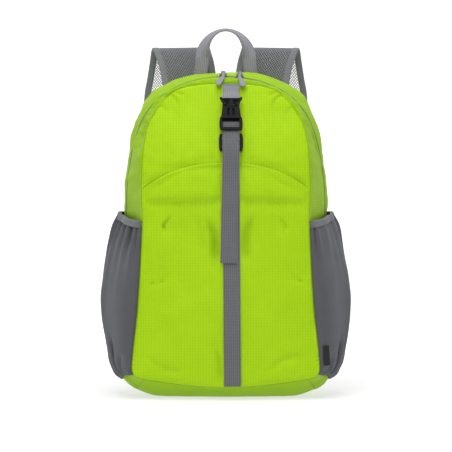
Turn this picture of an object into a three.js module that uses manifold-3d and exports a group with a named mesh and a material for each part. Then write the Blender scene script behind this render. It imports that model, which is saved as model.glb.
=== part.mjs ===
// Packable backpack: hollow ripstop bag with an arched front pocket, two stretch side pockets,
// a zipped main compartment, a centre strap with a side release buckle, a webbing carry handle
// and two mesh shoulder straps. Millimetres, +Z up, front towards -Y, wearer's side towards +Y.

import * as THREE from 'three';
import { mergeVertices } from 'three/addons/utils/BufferGeometryUtils.js';
import Module from 'manifold-3d';

const wasm = await Module();
wasm.setup();

// Driving dimensions of the bag
const halfWidth = 150;
const bagHeight = 472;
const bagDepth = 150;
const ripstop = 1.6;
const frontSwell = 17;
const backSwell = 5;
const archRise = 38;
const zipWidth = 6;

// Clearances
const gap = 0.3;
const clothRest = 0.6;

// Side pockets
const stretchCloth = 1.6;
const bindingWidth = 10;
const bindingThickness = 2.2;
const pocketReach = 38;

// Webbing, buckle and strap slider
const webWidth = 24;
const webThickness = 1.5;
const strapX = 7.4;
const tailEnd = 195;
const tailDrift = -3.2;
const footDrift = 2.2;
const buckleWidth = 33;
const buckleFoot = 380;
const buckleLength = 50;
const buckleThickness = 8.5;
const buckleRail = 3.6;
const buckleEye = 3.2;
const maleLength = 9;
const tongueThickness = 2.8;
const loopBar = 1.6;
const glideWidth = 34;
const glideHeight = 27;
const glideThickness = 2.5;
const glideDrop = 3;
const glideBar = 3.5;
const glideChamfer = 3;
const hardwareMargin = 4;

// Carry handle
const handleWidth = 20;
const handleThickness = 2.4;
const handleSpread = 35;
const handleFlare = 3;
const handleLeg = 28.6;
const handleArch = 42;
const handleTurn = 78;
const handleSeat = 2.55;
const handleEase = 1.5;

// Shoulder straps
const strapPad = 4;
const strapBinding = 10;
const lockWidth = 36;
const lockHeight = 26;
const lockThickness = 4;
const lockRail = 4;
const anchorLength = 34;
const anchorFlare = [4, 20];

// Zip sliders and pullers
const sliderWidth = 6.4;
const sliderLength = 11;
const sliderHeight = 2.6;
const earHeight = 4.4;
const earWall = 1.3;
const pinRadius = 0.8;
const pinClearance = 0.35;
const bossWall = 0.8;
const pinSeat = 1.6;
const pullLength = 29;
const pullWidth = 9.5;
const pullThickness = 1.8;
const pullDroop = 29;
const pullNeck = 0.34;

// Bare tab in the pocket seam
const tabWidth = 11;
const tabHeight = 28;
const tabThickness = 1.2;
const tabPlace = 0.765;
const tabInset = 0.08;

// Half outline from crown centre to base centre. X in half widths, Z in heights, Y in depths.
// The seam ring edges the front panel, the zip ring carries the zip, the ridge ring is the
// widest line of the side and the back ring edges the back panel.
const columns = [
  'seamX', 'seamZ', 'zipX', 'zipZ', 'zipY', 'ridgeX', 'ridgeZ', 'ridgeY', 'backX', 'backZ', 'backY',
];
const sections = [
  [0.000, 0.957, 0.000, 0.981, -0.265, 0.000, 1.000, 0.067, 0.000, 0.985, 0.360],
  [0.272, 0.953, 0.289, 0.970, -0.262, 0.332, 0.993, 0.070, 0.300, 0.978, 0.365],
  [0.462, 0.938, 0.496, 0.946, -0.250, 0.566, 0.968, 0.080, 0.520, 0.954, 0.375],
  [0.585, 0.907, 0.650, 0.914, -0.225, 0.748, 0.932, 0.100, 0.680, 0.918, 0.390],
  [0.694, 0.860, 0.775, 0.868, -0.175, 0.853, 0.874, 0.120, 0.785, 0.862, 0.405],
  [0.760, 0.805, 0.861, 0.810, -0.100, 0.921, 0.810, 0.150, 0.850, 0.800, 0.415],
  [0.794, 0.726, 0.925, 0.733, -0.020, 0.953, 0.729, 0.180, 0.885, 0.725, 0.425],
  [0.802, 0.633, 0.965, 0.637, 0.030, 0.980, 0.636, 0.200, 0.910, 0.635, 0.430],
  [0.797, 0.536, 0.966, 0.543, 0.060, 0.982, 0.543, 0.200, 0.920, 0.543, 0.430],
  [0.816, 0.392, 0.940, 0.414, 0.070, 0.955, 0.419, 0.200, 0.910, 0.419, 0.430],
  [0.845, 0.256, 0.950, 0.283, 0.070, 0.965, 0.285, 0.200, 0.920, 0.285, 0.430],
  [0.883, 0.144, 0.980, 0.161, 0.060, 1.000, 0.155, 0.190, 0.935, 0.160, 0.425],
  [0.878, 0.076, 0.965, 0.066, -0.060, 0.995, 0.050, 0.150, 0.915, 0.072, 0.415],
  [0.683, 0.057, 0.735, 0.020, -0.170, 0.745, 0.004, 0.090, 0.700, 0.028, 0.400],
  [0.361, 0.044, 0.385, 0.010, -0.190, 0.400, -0.008, 0.070, 0.380, 0.010, 0.385],
  [0.000, 0.039, 0.000, 0.007, -0.190, 0.000, -0.010, 0.070, 0.000, 0.006, 0.380],
];
const lastStation = sections.length - 1;
const shoulderStation = 3.6;
const archStation = 7;
const cornerStation = 12;
const gussetFoot = 12.6;
const zipFoot = 8.6;

// Depth of the front seam, in depths, from the crown to the foot
const seamDepthTop = -0.333;
const seamDepthSide = -0.413;
const seamDepthFade = 0.75;

// How far the cloth's curve is drawn on past the front and the back seam, in shares of the
// next span, and how far it sinks behind the front seam, in depths
const frontTuck = 0.55;
const backTuck = 0.5;
const seamSink = 0.05;

// Soft dents and swells of the front cloth: centre and reach in half widths and heights,
// depth in millimetres towards the wearer.
const dentColumns = ['x', 'z', 'reachX', 'reachZ', 'depth'];
const dents = [
  [-0.30, 0.600, 0.55, 0.012, 1.6],
  [0.38, 0.600, 0.50, 0.012, 1.6],
  [-0.09, 0.470, 0.05, 0.060, 3.0],
  [0.19, 0.470, 0.05, 0.060, 3.0],
  [-0.47, 0.520, 0.07, 0.020, 2.2],
  [0.47, 0.520, 0.07, 0.020, 2.2],
  [-0.62, 0.380, 0.08, 0.020, 2.0],
  [0.60, 0.385, 0.08, 0.020, 2.0],
  [-0.50, 0.880, 0.05, 0.030, 3.0],
  [0.50, 0.880, 0.05, 0.030, 3.0],
  [-0.05, 0.300, 0.30, 0.100, -2.5],
  [0.15, 0.760, 0.40, 0.070, -2.0],
  [0.00, 0.700, 0.70, 0.012, 1.8],
];

// Fullness of a side pocket from mouth to foot: station and share of its reach
const pocketFullness = [
  [7.6, 0.10], [7.8, 0.16], [8.05, 0.34], [8.3, 0.50], [8.7, 0.71], [9.15, 0.88], [9.8, 1.00],
  [10.25, 0.93], [10.6, 0.81], [11.0, 0.66], [11.35, 0.54], [11.7, 0.33], [11.9, 0.12], [12.0, 0.03],
];
const mouthFront = 7.97;
const mouthBack = 7.73;
const mouthRise = 1.8;
const pocketHead = 8;
const pocketFoot = 12;
const mouthPuckers = 6;
const puckerDepth = 1.2;
const pocketLead = 0.78;
const pocketRows = 11;
const pocketColumns = 12;

// Shoulder strap from the crown seam over its fold to the lock.
// X in half widths, Y in depths, Z in heights, for the inner and the outer edge.
// Its seat is behind the back seam, between two stations.
const strapSeat = [0.28, 2.5];
const strapSeatDrop = 5;
const strapSections = [
  [0.113, 0.660, 0.450, 0.460, 1.037, 1.021],
  [0.147, 0.712, 0.500, 0.513, 1.079, 1.072],
  [0.160, 0.735, 0.545, 0.555, 1.092, 1.089],
  [0.168, 0.750, 0.590, 0.597, 1.089, 1.086],
  [0.187, 0.768, 0.655, 0.660, 1.058, 1.054],
  [0.213, 0.798, 0.715, 0.717, 1.001, 0.999],
  [0.253, 0.830, 0.755, 0.757, 0.938, 0.938],
  [0.320, 0.843, 0.790, 0.790, 0.805, 0.805],
  [0.400, 0.850, 0.785, 0.785, 0.657, 0.657],
  [0.487, 0.850, 0.720, 0.720, 0.508, 0.508],
  [0.560, 0.850, 0.640, 0.640, 0.392, 0.392],
];
const strapSteps = 26;
const handleSteps = 22;

// Pull tab hinge places along the zip, as stations, with the lean of each tab in degrees
const pullers = [
  { side: 'left', station: -0.08, lean: 28 },
  { side: 'right', station: 0.44, lean: -24 },
];

const colours = {
  green: [0xa8d71c, 0.62, 0],
  stretch: [0x5b5c60, 0.85, 0],
  webbing: [0x6b6d71, 0.8, 0],
  mesh: [0x8a8b91, 0.85, 0],
  plastic: [0x242527, 0.45, 0],
  metal: [0x9a9ca0, 0.35, 0.9],
  label: [0x141416, 0.8, 0],
};

const backpack = new THREE.Group();
const V = (x, y, z) => new THREE.Vector3(x, y, z);
const mix = (a, b, f) => a + (b - a) * f;
const clamp01 = (f) => Math.min(1, Math.max(0, f));
const smooth = (f) => clamp01(f) ** 2 * (3 - 2 * clamp01(f));
const range = (count) => Array.from({ length: count + 1 }, (_, i) => i / count);

// Steps of the cloth grids, shared so that neighbours meet corner to corner along a seam
const acrossSteps = 20;
const shoulderSteps = 8;
const sideSteps = 12;
const footSteps = 2;
const stretchSteps = (from, to, count) => range(count).slice(1).map((f) => mix(from, to, f));
const sideStations = [
  shoulderStation,
  ...stretchSteps(shoulderStation, archStation, shoulderSteps),
  ...stretchSteps(archStation, cornerStation, sideSteps),
];
const footStations = stretchSteps(cornerStation, gussetFoot, footSteps);
const halfStations = [
  ...stretchSteps(0, shoulderStation, acrossSteps / 2), ...sideStations.slice(1), ...footStations,
];
const gussetStations = [...halfStations.map((at) => -at).reverse(), 0, ...halfStations];
const baseSteps = 16;

function finish(name) {
  const [color, roughness, metalness] = colours[name];
  return new THREE.MeshStandardMaterial({ color, roughness, metalness, side: THREE.FrontSide });
}

function add(name, geometry, material) {
  const mesh = new THREE.Mesh(geometry, finish(material));
  mesh.name = name;
  backpack.add(mesh);
  return mesh;
}

// Uniform cubic through four neighbours
function cubic(p0, p1, p2, p3, f) {
  const bend = (2 * p0 - 5 * p1 + 4 * p2 - p3) * f * f + (3 * p1 - p0 - 3 * p2 + p3) * f * f * f;
  return p1 + 0.5 * ((p2 - p0) * f + bend);
}

// Value of a section column at a station. The outline is mirrored at the crown and the base.
function column(name, station) {
  const at = Math.abs(station);
  const index = Math.min(Math.floor(at), lastStation - 1);
  const key = columns.indexOf(name);
  const sign = name.endsWith('X') ? -1 : 1;
  const value = (i) => {
    if (i < 0) return sign * sections[-i][key];
    if (i > lastStation) return sign * sections[2 * lastStation - i][key];
    return sections[i][key];
  };
  return cubic(value(index - 1), value(index), value(index + 1), value(index + 2), at - index);
}

function seamDepth(z) {
  const fade = smooth((bagHeight * column('seamZ', 0) - z) / (bagHeight * (1 - seamDepthFade)));
  return bagDepth * mix(seamDepthTop, seamDepthSide, fade);
}

// Point of one of the four rings, positive stations on the +X side
function ring(name, station) {
  const side = Math.sign(station) || 1;
  const x = side * halfWidth * column(`${name}X`, station);
  const z = bagHeight * column(`${name}Z`, station);
  if (name === 'seam') return V(x, seamDepth(z), z);
  return V(x, bagDepth * column(`${name}Y`, station), z);
}

// Body cloth between the front seam (0), the zip (1), the ridge (2) and the back seam (3).
// It lies flat where the bag rests.
function body(station, across) {
  const knots = ['seam', 'zip', 'ridge', 'back'].map((name) => ring(name, station));
  knots.unshift(knots[0].clone().lerp(knots[1], -frontTuck));
  knots.push(knots[4].clone().lerp(knots[3], -backTuck));
  knots[0].y += seamSink * bagDepth;
  const index = Math.min(Math.floor(across), 2);
  const blend = (axis) => {
    const values = knots.slice(index, index + 4).map((knot) => knot[axis]);
    return cubic(...values, across - index);
  };
  return V(blend('x'), blend('y'), Math.max(0, blend('z')));
}

// Outward direction, the same for every cloth that meets at a seam
function outward(point) {
  const x = point.x / halfWidth;
  const y = point.y / (0.52 * bagDepth);
  const z = (2 * point.z) / bagHeight - 1;
  const fall = (value, size) => (Math.sign(value) * Math.abs(value) ** 3.4) / size;
  return V(fall(x, halfWidth), fall(y, bagDepth / 2), fall(z, bagHeight / 2)).normalize();
}

// Station of the front seam at a height, found by halving
function seamStation(z) {
  let low = 0;
  let high = lastStation;
  for (let turn = 0; turn < 34; turn += 1) {
    const middle = (low + high) / 2;
    if (bagHeight * column('seamZ', middle) > z) low = middle;
    else high = middle;
  }
  return low;
}

function dentDepth(x, z) {
  return dents.reduce((sum, row) => {
    const dent = Object.fromEntries(dentColumns.map((name, i) => [name, row[i]]));
    const farX = (x / halfWidth - dent.x) / dent.reachX;
    const farZ = (z / bagHeight - dent.z) / dent.reachZ;
    return sum + dent.depth * Math.exp(-farX * farX - farZ * farZ);
  }, 0);
}

// Depth of the front cloth at any place inside the front seam
function frontDepth(x, z) {
  const top = bagHeight * column('seamZ', 0);
  const foot = bagHeight * column('seamZ', lastStation);
  const reach = Math.max(1, halfWidth * column('seamX', seamStation(z)));
  const edge = clamp01(1 - Math.min(1, Math.abs(x) / reach) ** 2.4);
  const level = (z - foot) / (top - foot);
  const height = clamp01(1 - Math.abs(2 * level - 0.86) ** 2.6 / 1.14 ** 2.6) ** 0.75;
  const fill = edge * height;
  return seamDepth(z) - frontSwell * fill + dentDepth(x, z) * smooth(fill * 2.5);
}

// Closed cloth wall from a grid of outer points
function sheet(grid, wall, inwardAt = (point) => outward(point).negate()) {
  const rows = grid.length;
  const count = grid[0].length;
  const outer = grid.flat();
  const inner = outer.map((point, i) => point.clone().addScaledVector(inwardAt(point, i), wall));
  const positions = [...outer, ...inner].flatMap((point) => point.toArray());
  const id = (r, c) => r * count + c;
  const shift = rows * count;
  const faces = [];
  const quad = (a, b, c, d) => faces.push(a, b, c, a, c, d);
  for (let r = 0; r < rows - 1; r += 1) {
    for (let c = 0; c < count - 1; c += 1) {
      quad(id(r, c), id(r, c + 1), id(r + 1, c + 1), id(r + 1, c));
      quad(shift + id(r + 1, c), shift + id(r + 1, c + 1), shift + id(r, c + 1), shift + id(r, c));
    }
  }
  const border = [];
  for (let c = 0; c < count - 1; c += 1) border.push(id(0, c));
  for (let r = 0; r < rows - 1; r += 1) border.push(id(r, count - 1));
  for (let c = count - 1; c > 0; c -= 1) border.push(id(rows - 1, c));
  for (let r = rows - 1; r > 0; r -= 1) border.push(id(r, 0));
  border.forEach((a, i) => {
    const b = border[(i + 1) % border.length];
    quad(b, a, shift + a, shift + b);
  });
  return closedGeometry(positions, faces);
}

// Indexed geometry with its faces turned outwards
function closedGeometry(positions, faces) {
  const at = (i) => V(...positions.slice(3 * i, 3 * i + 3));
  let volume = 0;
  for (let i = 0; i < faces.length; i += 3) {
    volume += at(faces[i]).dot(at(faces[i + 1]).cross(at(faces[i + 2])));
  }
  const turned = volume < 0 ? faces.slice().reverse() : faces;
  const geometry = new THREE.BufferGeometry();
  geometry.setAttribute('position', new THREE.Float32BufferAttribute(positions, 3));
  geometry.setIndex(turned);
  geometry.computeVertexNormals();
  return geometry;
}

// Webbing from rows of a centre, a width direction, a face direction and their sizes
function ribbon(rows) {
  const positions = [];
  const faces = [];
  const quad = (a, b, c, d) => faces.push(a, b, c, a, c, d);
  rows.forEach(({ centre, across, face, width, thickness }) => {
    [[-1, -1], [1, -1], [1, 1], [-1, 1]].forEach(([u, v]) => {
      const corner = centre.clone().addScaledVector(across, (u * width) / 2);
      positions.push(...corner.addScaledVector(face, (v * thickness) / 2).toArray());
    });
  });
  for (let row = 0; row < rows.length - 1; row += 1) {
    for (let side = 0; side < 4; side += 1) {
      const next = (side + 1) % 4;
      quad(4 * row + side, 4 * row + next, 4 * row + 4 + next, 4 * row + 4 + side);
    }
  }
  const end = 4 * (rows.length - 1);
  quad(3, 2, 1, 0);
  quad(end, end + 1, end + 2, end + 3);
  return closedGeometry(positions, faces);
}

// Geometry whose shared corners are one vertex, made before the piece is moved
function welded(geometry) {
  geometry.deleteAttribute('normal');
  geometry.deleteAttribute('uv');
  return mergeVertices(geometry, 1e-4);
}

// Solid for joining and cutting, and the way back
function toSolid(geometry) {
  const vertProperties = new Float32Array(geometry.attributes.position.array);
  const triVerts = new Uint32Array(geometry.index.array);
  return new wasm.Manifold(new wasm.Mesh({ numProp: 3, vertProperties, triVerts }));
}

function toGeometry(solid) {
  const { vertProperties, triVerts } = solid.getMesh();
  const geometry = new THREE.BufferGeometry();
  geometry.setAttribute('position', new THREE.BufferAttribute(new Float32Array(vertProperties), 3));
  geometry.setIndex(new THREE.BufferAttribute(new Uint32Array(triVerts), 1));
  geometry.computeVertexNormals();
  return geometry;
}

function block(width, depth, height, centre) {
  const box = welded(new THREE.BoxGeometry(width, depth, height));
  return box.translate(centre.x, centre.y, centre.z);
}

// Round bar along X
function roundBar(radius, length) {
  return welded(new THREE.CylinderGeometry(radius, radius, length, 12)).rotateZ(Math.PI / 2);
}

// Four sided patch of X and Z from its foot, head, and side curves
function patch(u, v, foot, head, side) {
  const right = (u + 1) / 2;
  const low = foot(u);
  const high = head(u);
  const left = side(-1, v);
  const far = side(1, v);
  const blend = (axis) => {
    const ruled = mix(low[axis], high[axis], v) + mix(left[axis], far[axis], right);
    const lowCorners = mix(foot(-1)[axis], foot(1)[axis], right);
    const highCorners = mix(head(-1)[axis], head(1)[axis], right);
    return ruled - mix(lowCorners, highCorners, v);
  };
  return V(blend('x'), blend('y'), blend('z'));
}

// Front panels on each side of the arched pocket seam
function archPoint(u) {
  const end = ring('seam', archStation);
  const x = u * end.x;
  return V(x, 0, end.z + archRise * (1 - Math.abs(u) ** 2.5));
}

function frontPanel(name, upSteps, foot, head, side, height) {
  const insetU = gap / 2 / halfWidth;
  const insetV = gap / 2 / height;
  const grid = range(upSteps).map((row) => range(acrossSteps).map((f) => {
    const u = mix(-1, 1, f) * (1 - insetU);
    const v = mix(insetV, 1 - insetV, row);
    const flat = patch(u, v, foot, head, side);
    return V(flat.x, frontDepth(flat.x, flat.z), flat.z);
  }));
  add(name, sheet(grid, ripstop), 'green');
}

function frontPanels() {
  const seam = (station) => ring('seam', station);
  const lowFoot = (u) => seam((Math.sign(u) || 1) * mix(lastStation, cornerStation, Math.abs(u)));
  const lowSide = (side, v) => seam(side * mix(cornerStation, archStation, v));
  const highHead = (u) => seam(shoulderStation * u);
  const highSide = (side, v) => seam(side * mix(archStation, shoulderStation, v));
  const lowHeight = archPoint(0).z - seam(lastStation).z;
  const highHeight = seam(0).z - archPoint(0).z;
  frontPanel('front_panel_lower', sideSteps, lowFoot, archPoint, lowSide, lowHeight);
  frontPanel('front_panel_upper', shoulderSteps, archPoint, highHead, highSide, highHeight);
}

// Place across the body, a length in millimetres away from a ring
function besideRing(station, knot, length) {
  const other = knot + Math.sign(length);
  const step = body(station, knot).distanceTo(body(station, other));
  return knot + length / step;
}

function zipEdge(station) {
  return gap / 2 + (zipWidth / 2) * (1 - smooth((Math.abs(station) - zipFoot) / 0.4));
}

function bodyBand(name, stations, low, high, steps, material) {
  const grid = stations.map((station) => (
    range(steps).map((f) => body(station, mix(low(station), high(station), f)))
  ));
  add(name, sheet(grid, ripstop), material);
}

function gussets() {
  const seamEdge = (station) => besideRing(station, 0, gap / 2);
  const backEdge = (station) => besideRing(station, 3, -gap / 2);
  const zipFront = (station) => besideRing(station, 1, -zipEdge(station));
  const zipBack = (station) => besideRing(station, 1, zipEdge(station));
  bodyBand('front_gusset', gussetStations, seamEdge, zipFront, 3, 'green');
  bodyBand('rear_gusset', gussetStations, zipBack, backEdge, 5, 'green');
  const teethFront = (station) => besideRing(station, 1, gap - zipWidth / 2);
  const teethBack = (station) => besideRing(station, 1, zipWidth / 2 - gap);
  const zipStations = gussetStations.filter((station) => Math.abs(station) < zipFoot);
  bodyBand('main_zipper', zipStations, teethFront, teethBack, 1, 'webbing');
  const nudge = gap / 30;
  const baseStations = range(baseSteps).map((f) => {
    const around = mix(gussetFoot + nudge, 2 * lastStation - gussetFoot - nudge, f);
    return around > lastStation ? around - 2 * lastStation : around;
  });
  bodyBand('bottom_panel', baseStations, seamEdge, backEdge, 8, 'green');
}

function backPanel() {
  const back = (station) => ring('back', station);
  const foot = (u) => back((Math.sign(u) || 1) * mix(lastStation, cornerStation, Math.abs(u)));
  const head = (u) => back(shoulderStation * u);
  const side = (sign, v) => back(sign * mix(cornerStation, shoulderStation, v));
  const inset = gap / 2 / halfWidth;
  const rise = sideStations.map((at) => (cornerStation - at) / (cornerStation - shoulderStation));
  const grid = rise.map((row) => range(acrossSteps).map((f) => {
    const u = mix(-1, 1, f) * (1 - inset);
    const v = mix(inset, 1 - inset, row);
    const point = patch(u, v, foot, head, side);
    point.y += backSwell * (1 - u ** 2) * (1 - (2 * v - 1) ** 2);
    return point;
  }));
  add('back_panel', sheet(grid, ripstop), 'green');
}

// Length of a side pocket from mouth to foot
const pocketRun = bagHeight * (column('ridgeZ', pocketHead) - column('ridgeZ', pocketFoot));

// Fullness of a pocket at a station, straight between the rows of its table
function fullness(station) {
  const next = pocketFullness.findIndex(([at]) => at >= station);
  if (next <= 0) return pocketFullness[next === 0 ? 0 : pocketFullness.length - 1][1];
  const [lowAt, low] = pocketFullness[next - 1];
  const [highAt, high] = pocketFullness[next];
  return mix(low, high, (station - lowAt) / (highAt - lowAt));
}

// Outer face of a side pocket: along runs from mouth (0) to foot (1), round from front to back
function pocketPoint(side, along, round, thickness) {
  const mouth = mix(mouthFront, mouthBack, smooth(mouthRise * round));
  const station = mix(mouth, pocketFoot, along);
  const across = mix(besideRing(station, 0, gap), besideRing(station, 3, -gap), round);
  const point = body(side * station, across);
  const pucker = puckerDepth * Math.cos(2 * Math.PI * mouthPuckers * round) * (1 - smooth(along * 4));
  const arch = Math.sin(Math.PI * round ** pocketLead) ** 0.75;
  const bulge = arch * (pocketReach * fullness(station) + pucker);
  return point.addScaledVector(outward(point), thickness + gap + bulge);
}

// Corner grid of a pocket's cloth below its binding
function pocketGrid(side) {
  const top = (bindingWidth + gap) / pocketRun;
  return range(pocketRows).map((row) => range(pocketColumns).map((round) => (
    pocketPoint(side, mix(top, 1, row), round, stretchCloth)
  )));
}

function sidePockets() {
  const lip = bindingWidth / pocketRun;
  [['left', -1], ['right', 1]].forEach(([name, side]) => {
    add(`pocket_${name}`, sheet(pocketGrid(side), stretchCloth), 'stretch');
    const binding = range(1).map((row) => range(16).map((round) => (
      pocketPoint(side, mix(0, lip, row), round, bindingThickness)
    )));
    add(`pocket_binding_${name}`, sheet(binding, bindingThickness), 'stretch');
  });
}

// Layers in front of the cloth, at their middles: the strap, the bar it loops over, the tail
const strapLayer = clothRest + webThickness / 2;
const barLayer = strapLayer + webThickness / 2 + gap + loopBar / 2;
const tailLayer = barLayer + loopBar / 2 + gap + webThickness / 2;
const glideLayer = strapLayer + webThickness / 2 + gap + glideThickness / 2;
const overGlide = glideLayer + glideThickness / 2 + gap + webThickness / 2;
const barHeight = buckleLength * 0.23;

// The strap spans the dents, so it lies on the foremost cloth near each height
function strapBed(z) {
  const near = [-1, -0.5, 0, 0.5, 1].map((f) => f * webWidth / 2);
  return Math.min(...near.flatMap((dx) => near.map((dz) => frontDepth(strapX + dx, z + dz))));
}

// Straight bed under the buckle and the glide, its height measured from the buckle's foot
const hardwareFoot = -glideDrop - glideHeight - hardwareMargin;
const hardwareHead = buckleLength;
function hardwareFrame() {
  const low = V(strapX, strapBed(buckleFoot + hardwareFoot), buckleFoot + hardwareFoot);
  const high = V(strapX, strapBed(buckleFoot + hardwareHead), buckleFoot + hardwareHead);
  const up = high.clone().sub(low).normalize();
  const out = V(0, -up.z, up.y);
  const proud = Math.max(...range(8).map((f) => {
    const z = mix(low.z, high.z, f);
    return V(strapX, strapBed(z), z).sub(low).dot(out);
  }));
  const origin = low.addScaledVector(up, -hardwareFoot / up.z).addScaledVector(out, Math.max(0, proud));
  return { origin, up, out };
}
const hardware = hardwareFrame();

function hardwarePoint(height, layer, x = 0) {
  return hardware.origin.clone().add(V(x, 0, 0))
    .addScaledVector(hardware.up, height).addScaledVector(hardware.out, layer);
}

// Geometry drawn in X and Y with its thickness along Z, stood up on the straight bed
function ontoBed(geometry) {
  const basis = new THREE.Matrix4().makeBasis(V(1, 0, 0), hardware.up, hardware.out);
  return geometry.applyMatrix4(basis.setPosition(hardware.origin));
}

const webRow = (centre, face) => ({
  centre, across: V(1, 0, 0), face, width: webWidth, thickness: webThickness,
});
const bedRow = (z, layer, drift = 0) => (
  webRow(V(strapX + drift, strapBed(z) - layer, z), V(0, -1, 0))
);
const hardwareRow = (height, layer) => webRow(hardwarePoint(height, layer), hardware.out.clone());

// One webbing runs from the foot seam up round the buckle bar and down as the tail
function centreStrap() {
  const foot = ring('seam', lastStation).z + webThickness;
  const bend = buckleFoot + hardwareFoot - webWidth;
  const rows = range(14).map((f) => bedRow(mix(foot, bend, f), strapLayer, footDrift * (1 - f)));
  rows.push(hardwareRow(hardwareFoot, strapLayer), hardwareRow(barHeight, strapLayer));
  const radius = (tailLayer - strapLayer) / 2;
  range(6).slice(1, -1).forEach((f) => {
    const turn = Math.PI * f;
    const layer = strapLayer + radius * (1 - Math.cos(turn));
    const centre = hardwarePoint(barHeight + radius * Math.sin(turn), layer);
    const face = hardware.out.clone().multiplyScalar(Math.cos(turn))
      .addScaledVector(hardware.up, -Math.sin(turn));
    rows.push(webRow(centre, face));
  });
  const turned = (row) => ({ ...row, face: row.face.negate() });
  const over = [
    [barHeight, tailLayer], [-0.5, tailLayer], [-glideDrop, overGlide],
    [-glideDrop - glideHeight, overGlide],
  ];
  over.forEach(([height, layer]) => rows.push(turned(hardwareRow(height, layer))));
  [0.14, 0.3, 0.5, 0.75, 1].forEach((f) => {
    const z = mix(buckleFoot + hardwareFoot, tailEnd, f);
    const layer = mix(overGlide, strapLayer + webThickness + 2 * clothRest, smooth(1.4 * f));
    rows.push(turned(bedRow(z, layer, tailDrift * f)));
  });
  add('front_strap', ribbon(rows), 'webbing');

  const head = ring('seam', 0).z - webThickness;
  const upper = [0, 0.2, 0.4, 0.6].map((f) => {
    const z = mix(head, hardwarePoint(buckleLength, 0).z, f);
    return bedRow(z, mix(strapLayer, maleLayer(), smooth(f)));
  });
  [buckleLength, buckleLength - maleLength / 2].forEach((height) => {
    upper.push(hardwareRow(height, maleLayer()));
  });
  add('front_strap_upper', ribbon(upper), 'webbing');
}

// The male half lies in the middle of the buckle, and its webbing runs just behind it
function maleLayer() {
  return clothRest + (buckleThickness - tongueThickness) / 2 - gap - webThickness / 2;
}

// Bevelled plate drawn in X and Y, its middle at the given layer
function plate(points, thickness, layer, holes = []) {
  const bevel = 0.5;
  const toPoints = (list) => list.map(([x, y]) => new THREE.Vector2(x, y));
  const shape = new THREE.Shape(toPoints(points));
  shape.holes = holes.map((hole) => new THREE.Path(toPoints(hole)));
  const geometry = welded(new THREE.ExtrudeGeometry(shape, {
    depth: thickness - 2 * bevel, bevelEnabled: true, bevelThickness: bevel, bevelSize: bevel,
    bevelOffset: -bevel, bevelSegments: 1,
  }));
  return geometry.translate(0, 0, bevel - thickness / 2 + layer);
}

const mirrored = (half) => [...half, ...half.slice().reverse().map(([x, y]) => [-x, y])];
const rectangle = (x0, y0, x1, y1) => [[x0, y0], [x1, y0], [x1, y1], [x0, y1]];

// Box from its extents along X, height and layer
function slab([x0, x1], [y0, y1], [z0, z1]) {
  return block(x1 - x0, y1 - y0, z1 - z0, V((x0 + x1) / 2, (y0 + y1) / 2, (z0 + z1) / 2));
}

const cut = (solid, ...pieces) => pieces.reduce((rest, piece) => rest.subtract(toSolid(piece)), solid);

// Fastened side release buckle, drawn from its foot upwards
function buckle() {
  const half = buckleWidth / 2;
  const back = clothRest;
  const front = clothRest + buckleThickness;
  const middle = (back + front) / 2;
  const neck = buckleLength - maleLength - gap;
  const windowHead = buckleLength * 0.35;
  const windowFoot = buckleLength * 0.11;
  const inside = half - buckleRail;
  const passage = webWidth / 2 + gap;
  const shape = mirrored([
    [half * 0.76, 0], [half, half * 0.2], [half * 1.02, buckleLength * 0.25],
    [half * 0.86, buckleLength * 0.46], [half * 0.72, neck],
  ]);
  const mouthHalf = buckleWidth * 0.28;
  const slot = tongueThickness / 2 + gap;
  const mouthFoot = buckleLength * 0.41;
  const eyes = [-1, 1].map((side) => slab(
    [side * buckleEye - 1.3, side * buckleEye + 1.3], [buckleLength * 0.44, buckleLength * 0.62],
    [back - 1, front + 1],
  ));
  let female = cut(
    toSolid(plate(shape, buckleThickness, middle)),
    slab([-inside, inside], [windowFoot, windowHead], [back - 1, front + 1]),
    slab([-passage, passage], [-1, windowFoot + 1], [back - 1, tailLayer + webThickness / 2 + gap]),
    slab([-mouthHalf, mouthHalf], [mouthFoot, neck + 1], [middle - slot, middle + slot]),
    ...eyes,
  );
  const bar = slab([-half + 1, half - 1], [barHeight - 2.4, barHeight],
    [barLayer - loopBar / 2, barLayer + loopBar / 2]);
  female = female.add(toSolid(bar));
  add('buckle_female', ontoBed(toGeometry(female)), 'plastic');

  const shoulder = mirrored([
    [half * 0.66, neck + gap], [half * 0.8, buckleLength - maleLength * 0.45],
    [half, buckleLength - maleLength * 0.2], [half * 0.92, buckleLength],
  ]);
  const tongue = slab([gap - mouthHalf, mouthHalf - gap], [mouthFoot + gap, neck + maleLength / 3],
    [middle - tongueThickness / 2, middle + tongueThickness / 2]);
  const behind = slab([-passage, passage], [buckleLength - maleLength * 0.6, buckleLength + 1],
    [back - 1, maleLayer() + webThickness / 2 + gap]);
  const male = cut(toSolid(plate(shoulder, buckleThickness * 0.7, middle)), behind);
  add('buckle_male', ontoBed(toGeometry(male.add(toSolid(tongue)))), 'plastic');
}

// Two slot glide that keeps the tail close to the strap
function strapGlide() {
  const half = glideWidth / 2;
  const rail = half - webWidth / 2 - gap;
  const middle = glideHeight / 2;
  const foot = -glideDrop - glideHeight;
  const shape = mirrored([
    [half - glideChamfer, foot], [half, foot + glideChamfer],
    [half, foot + glideHeight - glideChamfer], [half - glideChamfer, foot + glideHeight],
  ]);
  const bar = glideBar / 2;
  const slots = [[glideBar, middle - bar], [middle + bar, glideHeight - glideBar]].map(([low, high]) => (
    slab([rail - half, half - rail], [foot + low, foot + high], [0, 2 * glideLayer])
  ));
  const frame = cut(toSolid(plate(shape, glideThickness, glideLayer)), ...slots);
  add('strap_glide', ontoBed(toGeometry(frame)), 'plastic');
}

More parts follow.
